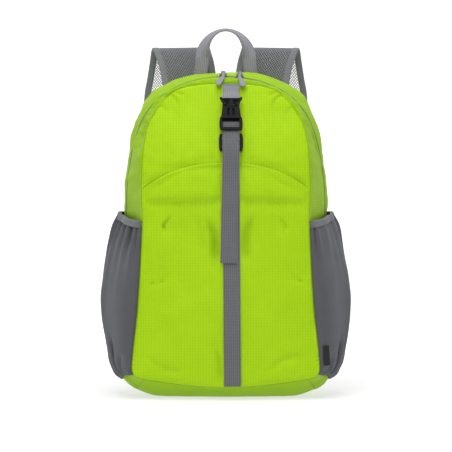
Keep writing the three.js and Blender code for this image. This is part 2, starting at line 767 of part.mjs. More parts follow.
// Carry handle: two legs that face forwards and turn edge on over the arch
function carryHandle() {
  const seat = body(handleSpread / (halfWidth * column('ridgeX', 1)), handleSeat);
  const foot = seat.z + handleThickness / 2 + gap;
  const bend = seat.z + handleLeg;
  const size = { width: handleWidth, thickness: handleThickness };
  const leg = (side, f) => ({
    centre: V(side * (handleSpread + handleFlare * (1 - f) ** handleEase), seat.y, mix(foot, bend, f)),
    across: V(1, 0, 0), face: V(0, -1, 0), ...size,
  });
  const legSteps = range(3).slice(0, -1);
  const arch = range(handleSteps).map((f) => {
    const angle = Math.PI * (1 - f);
    const turn = THREE.MathUtils.degToRad(handleTurn) * Math.sin(Math.PI * f) ** 0.9;
    const radial = V(Math.cos(angle), 0, Math.sin(angle));
    const along = V(radial.z, 0, -radial.x);
    const side = V(-radial.x, 0, -radial.z).multiplyScalar(-Math.cos(turn)).add(V(0, Math.sin(turn), 0));
    const centre = V(handleSpread * radial.x, seat.y, bend + handleArch * radial.z);
    return { centre, across: side, face: side.clone().cross(along), ...size };
  });
  const rows = [
    ...legSteps.map((f) => leg(-1, f)), ...arch, ...legSteps.reverse().map((f) => leg(1, f)),
  ];
  rows.slice(1).forEach((row, i) => {
    if (row.across.dot(rows[i].across) < 0) row.across.negate();
    if (row.face.dot(rows[i].face) < 0) row.face.negate();
  });
  add('carry_handle', ribbon(rows), 'webbing');
}

const seatPoints = strapSeat.map((station) => ring('back', station));
const seatRow = [
  ...seatPoints.map((point) => point.x / halfWidth),
  ...seatPoints.map((point) => (point.y + clothRest + strapPad / 2) / bagDepth),
  ...seatPoints.map((point) => (point.z - strapSeatDrop) / bagHeight),
];
const strapRows = [seatRow, ...strapSections];

// Point of a shoulder strap, 0 at the crown seam and 1 at the lock, 0 inner edge to 1 outer
function strapPoint(side, along, over) {
  const at = along * (strapRows.length - 1);
  const index = Math.min(Math.floor(at), strapRows.length - 2);
  const value = (key) => {
    const rows = [index - 1, index, index + 1, index + 2].map((i) => (
      strapRows[Math.min(Math.max(i, 0), strapRows.length - 1)][key]
    ));
    return cubic(...rows, at - index);
  };
  const x = side * halfWidth * mix(value(0), value(1), over);
  return V(x, bagDepth * mix(value(2), value(3), over), bagHeight * mix(value(4), value(5), over));
}

function strapFace(side, along, over) {
  const step = 0.004;
  const down = strapPoint(side, Math.min(1, along + step), over)
    .sub(strapPoint(side, Math.max(0, along - step), over));
  const outwards = strapPoint(side, along, 1).sub(strapPoint(side, along, 0)).multiplyScalar(side);
  return outwards.cross(down).normalize();
}

function shoulderStraps() {
  [['left', -1], ['right', 1]].forEach(([name, side]) => {
    const bands = [
      [`strap_mesh_${name}`, (width) => [strapBinding + gap, width - strapBinding - gap], 'mesh'],
      [`strap_edge_inner_${name}`, () => [0, strapBinding], 'webbing'],
      [`strap_edge_outer_${name}`, (width) => [width - strapBinding, width], 'webbing'],
    ];
    bands.forEach(([node, reach, material]) => {
      const stations = range(strapSteps).map((f) => f ** 1.25);
      const thickness = material === 'mesh' ? strapPad - 1 : strapPad;
      const rows = stations.map((along) => {
        const width = strapPoint(side, along, 0).distanceTo(strapPoint(side, along, 1));
        const [from, to] = reach(width).map((length) => length / width);
        const face = strapFace(side, along, 0.5);
        const start = strapPoint(side, along, from);
        const end = strapPoint(side, along, to);
        const across = end.clone().sub(start);
        const size = across.length();
        return {
          centre: start.clone().add(end).multiplyScalar(0.5), across: across.normalize(), face,
          width: size, thickness,
        };
      });
      add(node, ribbon(rows), material);
    });
    lowerStrap(name, side);
  });
}

// Lock, adjusting web and anchor patch below a shoulder strap
function lowerStrap(name, side) {
  const middle = strapPoint(side, 1, 0.5);
  const down = middle.clone().sub(strapPoint(side, 0.97, 0.5));
  const across = strapPoint(side, 1, 1).sub(strapPoint(side, 1, 0)).normalize();
  down.addScaledVector(across, -down.dot(across)).normalize();
  const basis = new THREE.Matrix4().makeBasis(across, down.clone().negate(), down.clone().cross(across));
  const lockCentre = middle.clone().addScaledVector(down, lockHeight / 2 + clothRest);
  const shape = rectangle(-lockWidth / 2, -lockHeight / 2, lockWidth / 2, lockHeight / 2);
  const slots = [-1, 1].map((level) => slab(
    [lockRail - lockWidth / 2, lockWidth / 2 - lockRail],
    level < 0 ? [lockRail - lockHeight / 2, -lockRail / 2] : [lockRail / 2, lockHeight / 2 - lockRail],
    [-lockThickness, lockThickness],
  ));
  const lock = cut(toSolid(plate(shape, lockThickness, 0)), ...slots);
  add(`ladder_lock_${name}`, toGeometry(lock).applyMatrix4(basis.setPosition(lockCentre)), 'plastic');

  const start = lockCentre.clone().addScaledVector(down, lockHeight / 2 + gap);
  const foot = V(side * (halfWidth * column('backX', cornerStation) - webWidth), 0, 0);
  foot.z = bagHeight * column('backZ', cornerStation) + webWidth;
  foot.y = bagDepth * column('backY', cornerStation - 1) + backSwell + webThickness;
  const top = foot.clone().lerp(start, anchorLength / foot.distanceTo(start));
  const webRows = range(5).map((f) => {
    const centre = start.clone().lerp(top, f).add(V(0, 5 * Math.sin(Math.PI * f), 0));
    return { centre, across, face: V(0, 1, 0), width: webWidth, thickness: webThickness };
  });
  add(`strap_webbing_${name}`, ribbon(webRows), 'webbing');
  const patchRows = [0, 1].map((f) => ({
    centre: top.clone().lerp(foot, mix(gap / anchorLength, 1, f)), across, face: V(0, 1, 0),
    width: webWidth + mix(anchorFlare[0], anchorFlare[1], f), thickness: ripstop,
  }));
  add(`strap_anchor_${name}`, ribbon(patchRows), 'green');
}

// Zip sliders with ears, and pull tabs that hinge on a pin between them
function zipPulls() {
  pullers.forEach(({ side, station, lean }) => {
    const seat = body(station, 1);
    const right = body(station + 0.05, 1).sub(body(station - 0.05, 1)).normalize();
    const back = body(station, 1.1).sub(body(station, 0.9)).normalize();
    const up = right.clone().cross(back).normalize();
    back.crossVectors(up, right);
    const frame = new THREE.Matrix4().makeBasis(right, back, up);
    frame.setPosition(seat.clone().addScaledVector(up, 2 * gap));
    const earGap = pullThickness + 2 * pinClearance + 2 * bossWall;
    let slider = toSolid(block(sliderLength, sliderWidth, sliderHeight, V(0, 0, sliderHeight / 2)));
    [-1, 1].forEach((ear) => {
      const x = (ear * (earGap + earWall)) / 2;
      const z = sliderHeight + earHeight / 2 - 0.4;
      slider = slider.add(toSolid(block(earWall, sliderWidth * 0.5, earHeight, V(x, 0, z))));
    });
    const pinHeight = sliderHeight + earHeight - pinSeat;
    const pin = roundBar(pinRadius, earGap + earWall).translate(0, 0, pinHeight);
    slider = slider.add(toSolid(pin));
    add(`zip_slider_${side}`, toGeometry(slider), 'metal').applyMatrix4(frame);

    // The pull is drawn round its pin along -Y of the slider's frame, then laid down on the cloth
    const eye = pinRadius + pinClearance;
    const bossWidth = earGap - 2 * pinClearance;
    const neckLength = pullLength * pullNeck;
    const boss = roundBar(eye + bossWall, bossWidth);
    const neck = block(bossWidth, neckLength, 1.6, V(0, -eye - neckLength / 2, 0));
    const tab = plate(mirrored([
      [pullWidth * 0.3, 0], [pullWidth * 0.38, pullLength * 0.26], [pullWidth * 0.5, pullLength * 0.5],
      [pullWidth * 0.47, pullLength * 0.6], [pullWidth * 0.28, pullLength * 0.66],
    ]), pullThickness, 0);
    tab.rotateX(Math.PI).rotateZ(THREE.MathUtils.degToRad(-lean));
    tab.translate(0, -eye - neckLength * 0.8, 0);
    let pull = toSolid(boss).add(toSolid(neck)).add(toSolid(tab));
    pull = pull.subtract(toSolid(roundBar(eye, earGap * 2)));
    const lie = new THREE.Matrix4().makeRotationX(THREE.MathUtils.degToRad(pullDroop));
    lie.setPosition(0, 0, pinHeight);
    add(`zip_puller_${side}`, toGeometry(pull), 'webbing').applyMatrix4(frame.multiply(lie));
  });
}

// Bare woven tab caught in the front seam of the right pocket, flat on one face of its cloth
function sideTab() {
  const level = Math.floor(tabPlace * pocketRows);
  const [upper, lower] = pocketGrid(1).slice(level, level + 2);
  const top = upper[0].clone().lerp(upper[1], tabInset);
  const foot = lower[0].clone().lerp(lower[1], tabInset);
  const down = foot.clone().sub(top).normalize();
  const over = upper[1].clone().lerp(lower[1], 0.5).sub(top.clone().lerp(foot, 0.5));
  const face = down.clone().cross(over).normalize();
  const across = face.clone().cross(down).normalize();
  const centre = top.clone().lerp(foot, 0.5).addScaledVector(across, tabWidth / 2);
  centre.addScaledVector(face, 2 * gap + tabThickness / 2);
  const rows = [-0.5, 0.5].map((f) => ({
    centre: centre.clone().addScaledVector(down, f * tabHeight), across, face,
    width: tabWidth, thickness: tabThickness,
  }));
  add('side_tab', ribbon(rows), 'label');
}

frontPanels();
gussets();
backPanel();
sidePockets();
centreStrap();
buckle();
strapGlide();
carryHandle();
shoulderStraps();
zipPulls();
sideTab();

export default backpack;
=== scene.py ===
"""Looks of a packable backpack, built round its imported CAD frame.

Lengths are millimetres in the row frame until a mesh is made, and metres after that.
"""

import logging
import math
from dataclasses import dataclass, field
from enum import Enum
from typing import Any, Callable, Iterable, Sequence

import bmesh
import bpy
import numpy as np
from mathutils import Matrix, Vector
from mathutils.bvhtree import BVHTree


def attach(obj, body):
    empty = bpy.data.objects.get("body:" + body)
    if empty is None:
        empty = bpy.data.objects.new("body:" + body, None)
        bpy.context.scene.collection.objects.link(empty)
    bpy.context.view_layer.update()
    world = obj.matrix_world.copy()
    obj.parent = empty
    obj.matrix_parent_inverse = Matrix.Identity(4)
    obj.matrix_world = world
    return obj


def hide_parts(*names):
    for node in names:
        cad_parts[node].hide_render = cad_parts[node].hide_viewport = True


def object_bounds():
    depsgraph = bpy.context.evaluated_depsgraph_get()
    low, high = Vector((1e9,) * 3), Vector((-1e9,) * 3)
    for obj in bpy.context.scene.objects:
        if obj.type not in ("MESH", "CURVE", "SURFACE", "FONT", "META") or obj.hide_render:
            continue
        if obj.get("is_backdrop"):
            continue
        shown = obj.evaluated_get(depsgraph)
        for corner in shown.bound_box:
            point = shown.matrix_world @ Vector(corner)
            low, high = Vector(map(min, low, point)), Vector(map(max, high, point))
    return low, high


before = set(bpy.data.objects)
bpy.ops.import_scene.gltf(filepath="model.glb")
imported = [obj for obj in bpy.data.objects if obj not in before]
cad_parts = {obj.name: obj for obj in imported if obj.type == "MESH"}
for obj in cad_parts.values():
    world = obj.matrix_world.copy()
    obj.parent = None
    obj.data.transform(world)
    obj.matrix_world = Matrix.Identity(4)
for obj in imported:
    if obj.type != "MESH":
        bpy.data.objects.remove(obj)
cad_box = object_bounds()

LOG = logging.getLogger("backpack")
MM = 0.001
Array = np.ndarray


# Small maths on arrays of points


def unit(vectors: Array) -> Array:
    """Vectors of length one."""
    return vectors / np.maximum(np.linalg.norm(vectors, axis=-1, keepdims=True), 1e-9)


def mix(low: Any, high: Any, share: Any) -> Any:
    """Value that lies the given share of the way from low to high."""
    return low + (high - low) * share


def smooth(share: Any) -> Any:
    """Smooth step of a share held between 0 and 1."""
    held = np.clip(share, 0.0, 1.0)
    return held * held * (3 - 2 * held)


def bell(distance: Any, width: float) -> Any:
    """Bell curve of height one."""
    return np.exp(-((distance / width) ** 2))


def cubic(p0: Any, p1: Any, p2: Any, p3: Any, share: Any) -> Any:
    """Uniform cubic through four neighbours."""
    bend = (2 * p0 - 5 * p1 + 4 * p2 - p3) * share**2 + (3 * p1 - p0 - 3 * p2 + p3) * share**3
    return p1 + 0.5 * ((p2 - p0) * share + bend)


def at(x: Any, y: Any, z: Any) -> Array:
    """Points from their three coordinates, which may be numbers or arrays."""
    return np.stack(np.broadcast_arrays(x, y, z), axis=-1).astype(float)


def dense_ends(count: int, pull: float = 0.6) -> Array:
    """Shares from 0 to 1 that lie closer together near both ends.

    Args:
        count: Number of steps.
        pull: How much closer the end steps are, from 0 to under 1.

    Returns:
        count + 1 rising shares.
    """
    even = np.linspace(0, 1, count + 1)
    return even - pull * np.sin(2 * np.pi * even) / (2 * np.pi)


def ripple(x: Any, y: Any, seed: int, layers: int = 2) -> Array:
    """Smooth seeded noise between about -1 and 1, one bump to a unit of x and y.

    Args:
        x: First coordinate, in bumps.
        y: Second coordinate, in bumps.
        seed: Chooses the pattern.
        layers: Number of layers, each at twice the scale and half the strength.

    Returns:
        Noise at each place.
    """
    size = 64
    table = np.random.default_rng(seed).uniform(-1, 1, (size, size))
    total = np.zeros(np.broadcast(x, y).shape)
    for layer in range(layers):
        px, py = np.broadcast_arrays(x * 2**layer + 7.3 * layer, y * 2**layer + 3.1 * layer)
        column, row = np.floor(px).astype(int), np.floor(py).astype(int)
        fx, fy = smooth(px - column), smooth(py - row)
        corner = lambda i, j: table[(row + j) % size, (column + i) % size]
        near = mix(corner(0, 0), corner(1, 0), fx)
        far = mix(corner(0, 1), corner(1, 1), fx)
        total += mix(near, far, fy) / 2**layer
    return total


# Shader trees


class Value:
    """A shader value whose arithmetic adds Math nodes."""

    def __init__(self, tree: "ShaderTree", socket: bpy.types.NodeSocket) -> None:
        """Wraps a node's output socket."""
        self.tree = tree
        self.socket = socket

    def math(self, operation: str, *others: Any) -> "Value":
        """Math node of this value and the others.

        Args:
            operation: The Math node's operation.
            others: Numbers or values for its further sockets.

        Returns:
            The node's result.
        """
        return self.tree.math(operation, self, *others)

    def __add__(self, other: Any) -> "Value":
        """Sum."""
        return self.math("ADD", other)

    def __radd__(self, other: Any) -> "Value":
        """Reflected sum."""
        return self.tree.math("ADD", other, self)

    def __sub__(self, other: Any) -> "Value":
        """Difference."""
        return self.math("SUBTRACT", other)

    def __rsub__(self, other: Any) -> "Value":
        """Reflected difference."""
        return self.tree.math("SUBTRACT", other, self)

    def __mul__(self, other: Any) -> "Value":
        """Product."""
        return self.math("MULTIPLY", other)

    def __rmul__(self, other: Any) -> "Value":
        """Reflected product."""
        return self.tree.math("MULTIPLY", other, self)

    def __truediv__(self, other: Any) -> "Value":
        """Quotient."""
        return self.math("DIVIDE", other)

    def __pow__(self, other: Any) -> "Value":
        """Power."""
        return self.math("POWER", other)


class ShaderTree:
    """Node tree of one material, ended by a Principled shader."""

    def __init__(self, name: str) -> None:
        """Starts an empty material of that name."""
        self.material = bpy.data.materials.new(name)
        self.material.use_nodes = True
        self.tree = self.material.node_tree
        self.tree.nodes.clear()

    def node(self, kind: str, settings: dict[str, Any], sockets: dict[Any, Any]) -> bpy.types.Node:
        """Adds one node.

        Args:
            kind: Blender's node type.
            settings: Attributes set before the sockets. "stops" fills a colour ramp.
            sockets: Values, numbers or colours by socket name or index.

        Returns:
            The node.
        """
        made = self.tree.nodes.new(kind)
        for key, setting in settings.items():
            if key == "stops":
                ramp = made.color_ramp
                while len(ramp.elements) < len(setting):
                    ramp.elements.new(0.5)
                for element, (place, colour) in zip(ramp.elements, setting):
                    element.position = place
                    element.color = (*colour, 1.0)
            else:
                setattr(made, key, setting)
        for key, value in sockets.items():
            if isinstance(value, Value):
                self.tree.links.new(value.socket, made.inputs[key])
            else:
                made.inputs[key].default_value = value
        return made

    def math(self, operation: str, *values: Any) -> Value:
        """Result of a Math node on numbers or values."""
        made = self.node("ShaderNodeMath", {"operation": operation}, dict(enumerate(values)))
        return Value(self, made.outputs[0])

    def weave(self) -> Value:
        """Place on the cloth, in metres across and along its threads, and third how deep it lies in a fold,
        which drives painted fold shade.
        """
        made = self.node("ShaderNodeAttribute", {"attribute_name": "weave"}, {})
        return Value(self, made.outputs["Vector"])

    def place(self) -> Value:
        """Place on the object itself, in metres."""
        made = self.node("ShaderNodeTexCoord", {}, {})
        return Value(self, made.outputs["Object"])

    def parts(self, vector: Value) -> list[Value]:
        """The three coordinates of a vector."""
        made = self.node("ShaderNodeSeparateXYZ", {}, {0: vector})
        return [Value(self, output) for output in made.outputs]

    def noise(self, vector: Value, scale: float, detail: float = 2.0) -> Value:
        """Noise from 0 to 1 at a vector."""
        sockets = {"Vector": vector, "Scale": scale, "Detail": detail, "Roughness": 0.55}
        return Value(self, self.node("ShaderNodeTexNoise", {}, sockets).outputs["Fac"])

    def blend(self, share: Value, low: Sequence[float], high: Sequence[float]) -> Value:
        """Colour between two colours by a share."""
        settings = {"data_type": "RGBA", "clamp_factor": True}
        sockets = {0: share, 6: (*low, 1.0), 7: (*high, 1.0)}
        return Value(self, self.node("ShaderNodeMix", settings, sockets).outputs[2])

    def tint(self, colour: Value, shade: Value) -> Value:
        """Colour multiplied by a grey shade."""
        grey = self.node("ShaderNodeCombineXYZ", {}, {0: shade, 1: shade, 2: shade})
        settings = {"operation": "MULTIPLY"}
        sockets = {0: colour, 1: Value(self, grey.outputs[0])}
        return Value(self, self.node("ShaderNodeVectorMath", settings, sockets).outputs[0])

    def wave(self, place: Value, pitch: float) -> Value:
        """Cosine wave from 0 to 1 along a coordinate, one crest to each pitch in metres."""
        return (place * (2 * math.pi / pitch)).math("COSINE") * 0.5 + 0.5

    def ramp(self, value: Value, low: float, high: float) -> Value:
        """Smooth step of a value from 0 at low to 1 at high."""
        settings = {"interpolation_type": "SMOOTHSTEP"}
        sockets = {"Value": value, "From Min": low, "From Max": high}
        return Value(self, self.node("ShaderNodeMapRange", settings, sockets).outputs[0])

    def bump(self, height: Value, distance: float, strength: float = 1.0) -> Value:
        """Normal from a height, whose full range is a distance in metres."""
        sockets = {"Height": height, "Distance": distance, "Strength": strength}
        return Value(self, self.node("ShaderNodeBump", {}, sockets).outputs[0])

    def finish(self, sockets: dict[str, Any]) -> bpy.types.Material:
        """Ends the tree with a Principled shader.

        Args:
            sockets: Its sockets by name.

        Returns:
            The material.
        """
        shader = self.node("ShaderNodeBsdfPrincipled", {}, sockets)
        output = self.node("ShaderNodeOutputMaterial", {}, {})
        self.tree.links.new(shader.outputs[0], output.inputs[0])
        return self.material


# Finishes


@dataclass(frozen=True)
class Ripstop:
    """Thin nylon with a square grid of thicker threads and a soft sheen, darkened with painted shade in its
    folds.
    """

    name: str = "lime_ripstop"
    contrast: float = 0.1
    fold_shade: float = 0.22
    light: tuple[float, float, float] = (0.392, 0.650, 0.009)
    deep: tuple[float, float, float] = (0.335, 0.572, 0.004)
    pitch: float = 0.0039
    relief: float = 0.0003

    def material(self) -> bpy.types.Material:
        """Builds the material."""
        tree = ShaderTree(self.name)
        weave = tree.weave()
        across, along, fold_shade = tree.parts(weave)
        # Painted shade: the deeper the cloth lies in a fold, the darker its colour.
        fold = tree.ramp(fold_shade, 0.0002, 0.0048)
        upright = tree.wave(across, self.pitch) ** 3.0
        level = tree.wave(along, self.pitch) ** 4.0
        cloud = tree.noise(weave, 26.0, 3.0)
        patchy = tree.noise(weave, 70.0, 2.0)
        crinkle = tree.noise(weave, 210.0, 3.0)
        thread = tree.noise(weave, 1500.0, 1.0)
        grid = upright * (0.5 + patchy * 0.9) + level * 0.5
        shade = 0.97 + crinkle * 0.07 + thread * 0.05 - grid * self.contrast - fold * self.fold_shade
        colour = tree.tint(tree.blend(cloud, self.deep, self.light), shade)
        height = grid * 0.5 + crinkle * 1.3 + thread * 0.2
        return tree.finish({
            "Base Color": colour,
            "Roughness": 0.58 - grid * 0.06 + crinkle * 0.08,
            "Normal": tree.bump(height, self.relief),
            "Sheen Weight": 0.03,
            "Sheen Roughness": 0.4,
            "Sheen Tint": (0.8, 1.0, 0.3, 1.0),
            "Specular IOR Level": 0.12,
        })


@dataclass(frozen=True)
class StretchCloth:
    """Dark grey knitted stretch cloth with fine upright wales, darkened with painted shade in its folds and
    gathers.
    """

    name: str = "grey_stretch_cloth"
    light: tuple[float, float, float] = (0.108, 0.109, 0.120)
    deep: tuple[float, float, float] = (0.080, 0.081, 0.090)
    wale: float = 0.0011
    fold_shade: float = 0.6
    relief: float = 0.00016

    def material(self) -> bpy.types.Material:
        """Builds the material."""
        tree = ShaderTree(self.name)
        weave = tree.weave()
        across, along, fold_shade = tree.parts(weave)
        # Painted shade: the deeper the cloth lies in a fold or gather, the darker its colour.
        fold = tree.ramp(fold_shade, 0.0003, 0.0050)
        knit = tree.wave(across, self.wale) * (0.6 + tree.wave(along, self.wale * 1.4) * 0.4)
        cloud = tree.noise(weave, 30.0, 3.0)
        fuzz = tree.noise(weave, 900.0, 2.0)
        shade = 0.86 + knit * 0.16 + fuzz * 0.12 - fold * self.fold_shade
        return tree.finish({
            "Base Color": tree.tint(tree.blend(cloud, self.deep, self.light), shade),
            "Roughness": 0.78 + fuzz * 0.14,
            "Normal": tree.bump(knit + fuzz * 0.4, self.relief),
            "Sheen Weight": 0.12,
            "Sheen Roughness": 0.45,
            "Sheen Tint": (0.9, 0.93, 1.0, 1.0),
            "Specular IOR Level": 0.2,
        })


@dataclass(frozen=True)
class Webbing:
    """Woven strap: a broken twill of ribs across and fine threads along."""

    name: str = "grey_webbing"
    light: tuple[float, float, float] = (0.172, 0.174, 0.190)
    deep: tuple[float, float, float] = (0.042, 0.043, 0.050)
    rib: float = 0.0021
    warp: float = 0.0029
    relief: float = 0.0005
    sheen: float = 0.2

    def material(self) -> bpy.types.Material:
        """Builds the material."""
        tree = ShaderTree(self.name)
        weave = tree.weave()
        across, along, _ = tree.parts(weave)
        ribs = tree.wave(along, self.rib)
        warps = tree.wave(across, self.warp)
        fuzz = tree.noise(weave, 1100.0, 2.0)
        cloud = tree.noise(weave, 60.0, 2.0)
        height = ribs * 0.4 + warps * 0.6
        shade = 0.84 + cloud * 0.12 + fuzz * 0.16
        colour = tree.blend(height * 0.8 + 0.2, self.deep, self.light)
        return tree.finish({
            "Base Color": tree.tint(colour, shade),
            "Roughness": 0.74 + fuzz * 0.16,
            "Normal": tree.bump(height + fuzz * 0.2, self.relief),
            "Sheen Weight": self.sheen,
            "Sheen Roughness": 0.5,
        })


@dataclass(frozen=True)
class Yarn:
    """Spun yarn of the open strap mesh, its bindings and the sewing thread."""

    name: str
    light: tuple[float, float, float]
    deep: tuple[float, float, float]
    strand: float = 2400.0

    def material(self) -> bpy.types.Material:
        """Builds the material."""
        tree = ShaderTree(self.name)
        place = tree.place()
        fuzz = tree.noise(place, self.strand, 2.0)
        cloud = tree.noise(place, 90.0, 2.0)
        return tree.finish({
            "Base Color": tree.blend(fuzz * 0.7 + cloud * 0.3, self.deep, self.light),
            "Roughness": 0.72 + cloud * 0.18,
            "Normal": tree.bump(fuzz, 0.00015),
            "Sheen Weight": 0.3,
            "Sheen Roughness": 0.5,
        })


@dataclass(frozen=True)
class Moulding:
    """Moulded plastic or rubber with a fine spark texture and faint scuffs."""

    name: str
    light: tuple[float, float, float]
    deep: tuple[float, float, float]
    rough: float = 0.42
    spark: float = 2600.0
    gloss: float = 0.3

    def material(self) -> bpy.types.Material:
        """Builds the material."""
        tree = ShaderTree(self.name)
        place = tree.place()
        grain = tree.noise(place, self.spark, 2.0)
        scuff = tree.noise(place, 120.0, 4.0)
        return tree.finish({
            "Base Color": tree.blend(scuff, self.deep, self.light),
            "Roughness": self.rough + grain * 0.12 + scuff * 0.1,
            "Normal": tree.bump(grain, 0.00005),
            "Specular IOR Level": self.gloss,
        })


@dataclass(frozen=True)
class PlatedMetal:
    """Plated zip metal with fine wear."""

    name: str = "plated_metal"
    light: tuple[float, float, float] = (0.34, 0.35, 0.37)
    deep: tuple[float, float, float] = (0.15, 0.155, 0.165)

    def material(self) -> bpy.types.Material:
        """Builds the material."""
        tree = ShaderTree(self.name)
        place = tree.place()
        wear = tree.noise(place, 500.0, 4.0)
        grain = tree.noise(place, 3000.0, 2.0)
        return tree.finish({
            "Base Color": tree.blend(wear, self.deep, self.light),
            "Metallic": 1.0,
            "Roughness": 0.22 + wear * 0.22,
            "Normal": tree.bump(grain, 0.00003),
        })


@dataclass(frozen=True)
class StudioPaper:
    """Seamless white paper round the bag that glows with painted light: a little everywhere, more near the
    bag, where it washes out the bag's shadow, and most towards the back.
    """

    name: str = "studio_paper"
    light: tuple[float, float, float] = (0.40, 0.40, 0.40)
    deep: tuple[float, float, float] = (0.37, 0.37, 0.37)
    glow_front: float = 0.16
    glow_near: float = 0.44
    glow_back: float = 0.74

    def material(self) -> bpy.types.Material:
        """Builds the material."""
        tree = ShaderTree(self.name)
        place = tree.place()
        fibre = tree.noise(place, 900.0, 3.0)
        x, y, z = tree.parts(place)
        near = 1 - tree.ramp(x * x + y * y + z * z, 0.5, 6.0)
        # Painted light: the paper glows by itself, brighter near the bag to fill its cast shadow, and
        # brightest at the back.
        glow = self.glow_front + near * self.glow_near + tree.ramp(y, 0.2, 1.2) * self.glow_back
        return tree.finish({
            "Base Color": tree.blend(fibre, self.deep, self.light),
            "Roughness": 0.9 + fibre * 0.05,
            "Normal": tree.bump(fibre, 0.0001),
            "Specular IOR Level": 0.1,
            "Emission Color": glow,
            "Emission Strength": 1.0,
        })


class Stuff(Enum):
    """Finishes of the bag's pieces, each with the record's slot that it stands for."""

    RIPSTOP = (Ripstop(), "ripstop")
    # Darker copy of the same ripstop: painted shade for the gussets and base, which face aside or down.
    SIDE_RIPSTOP = (
        Ripstop("lime_ripstop_side_shaded", light=(0.315, 0.540, 0.005), deep=(0.262, 0.462, 0.003)),
        "ripstop",
    )
    STRETCH = (StretchCloth(), "stretch_cloth")
    WEBBING = (Webbing(), "webbing")
    # Lighter copy of the same webbing: painted light where the upper strap slopes up towards the crown.
    UPPER_WEB = (Webbing("lit_upper_webbing", (0.330, 0.334, 0.358), (0.100, 0.102, 0.112)), "webbing")
    HANDLE_WEB = (
        Webbing("handle_webbing", (0.325, 0.308, 0.360), (0.133, 0.127, 0.151), 0.0018, 0.0026),
        "webbing",
    )
    BINDING = (
        Webbing("strap_binding", (0.215, 0.219, 0.235), (0.110, 0.113, 0.122), 0.0009, 0.0012, 0.0002),
        "webbing",
    )
    ELASTIC = (
        Webbing("pocket_elastic", (0.150, 0.153, 0.165), (0.075, 0.077, 0.084), 0.0016, 0.0011, 0.0003),
        "stretch_cloth",
    )
    SPACER = (Yarn("spacer_mesh", (0.345, 0.350, 0.374), (0.185, 0.189, 0.205)), "strap_mesh")
    # Dark yarn sheet under the top of the strap mesh: painted shade, for the shaded strap behind that shows
    # through the holes.
    LINING = (Yarn("strap_shade_sheet", (0.090, 0.092, 0.100), (0.050, 0.051, 0.056)), "strap_mesh")
    LIME_THREAD = (Yarn("lime_thread", (0.50, 0.74, 0.05), (0.34, 0.56, 0.01), 3000.0), "ripstop")
    GREY_THREAD = (Yarn("grey_thread", (0.21, 0.215, 0.23), (0.11, 0.112, 0.122), 3000.0), "webbing")
    PLASTIC = (
        Moulding("black_plastic", (0.010, 0.010, 0.012), (0.005, 0.005, 0.006), 0.46, gloss=0.16),
        "plastic",
    )
    RUBBER = (Moulding("grey_rubber", (0.27, 0.275, 0.29), (0.20, 0.205, 0.22), 0.5, 1800.0), "pull_tab")
    CORD = (Yarn("black_cord", (0.030, 0.030, 0.033), (0.012, 0.012, 0.014), 1500.0), "pull_tab")
    METAL = (PlatedMetal(), "zip_metal")
    COIL = (Moulding("zip_coil", (0.20, 0.205, 0.22), (0.13, 0.133, 0.142), 0.4), "webbing")
    TAPE = (
        Webbing("zip_tape", (0.125, 0.128, 0.138), (0.06, 0.061, 0.067), 0.0008, 0.0012, 0.00015),
        "webbing",
    )
    TAB = (
        Webbing("woven_tab", (0.009, 0.009, 0.010), (0.004, 0.004, 0.005), 0.0007, 0.0009, 0.0001, 0.02),
        "tab_cloth",
    )

    def material(self) -> bpy.types.Material:
        """The finish's material, made once."""
        return bpy.data.materials.get(self.value[0].name) or self.value[0].material()


# Meshes


@dataclass
class Surface:
    """Points and faces of a piece, with the place of each point on its cloth."""

    points: Array
    faces: list[list[int]]
    weave: Array


def joined(surfaces: Iterable[Surface]) -> Surface:
    """Several surfaces as one."""
    made = list(surfaces)
    counts = np.cumsum([0] + [len(s.points) for s in made])
    faces = [[i + start for i in face] for s, start in zip(made, counts) for face in s.faces]
    return Surface(np.vstack([s.points for s in made]), faces, np.vstack([s.weave for s in made]))


def put(
    name: str, surface: Surface, stuff: Stuff, node: str | None = None, sharp: float = 40.0
) -> bpy.types.Object:
    """Makes a piece of the bag from a surface.

    Args:
        name: The piece's name.
        surface: Its points in millimetres, and its faces.
        stuff: Its finish.
        node: The CAD node that it replaces, if any.
        sharp: Edges that turn by more degrees than this are drawn sharp.

    Returns:
        The object.
    """
    mesh = bpy.data.meshes.new(name)
    mesh.from_pydata((surface.points * MM).tolist(), [], surface.faces)
    mesh.update()
    mesh.polygons.foreach_set("use_smooth", np.ones(len(mesh.polygons), bool))
    mesh.set_sharp_from_angle(angle=math.radians(sharp))
    flat = np.zeros((len(surface.points), 3), np.float32)
    flat[:, : surface.weave.shape[1]] = surface.weave * MM
    mesh.attributes.new("weave", "FLOAT_VECTOR", "POINT").data.foreach_set("vector", flat.ravel())
    made = bpy.data.objects.new(name, mesh)
    bpy.context.scene.collection.objects.link(made)
    made.data.materials.append(stuff.material())
    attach(made, "bag")
    if node:
        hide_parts(node)
    LOG.info("%s: %d points", name, len(surface.points))
    return made


def grid_faces(rows: int, count: int, start: int = 0) -> Array:
    """Four cornered faces of a grid of points."""
    corner = start + np.arange(rows - 1)[:, None] * count + np.arange(count - 1)[None, :]
    faces = np.stack([corner, corner + 1, corner + count + 1, corner + count], axis=-1)
    return faces.reshape(-1, 4)


def grid_weave(grid: Array) -> Array:
    """Places on the cloth of a grid: mean lengths across and along it."""
    across = np.linalg.norm(np.diff(grid, axis=1), axis=-1).mean(axis=0)
    along = np.linalg.norm(np.diff(grid, axis=0), axis=-1).mean(axis=1)
    across, along = np.cumsum([0, *across]), np.cumsum([0, *along])
    u, v = np.broadcast_arrays(across[None, :] - across.mean(), along[:, None])
    return np.stack([u, v], axis=-1)


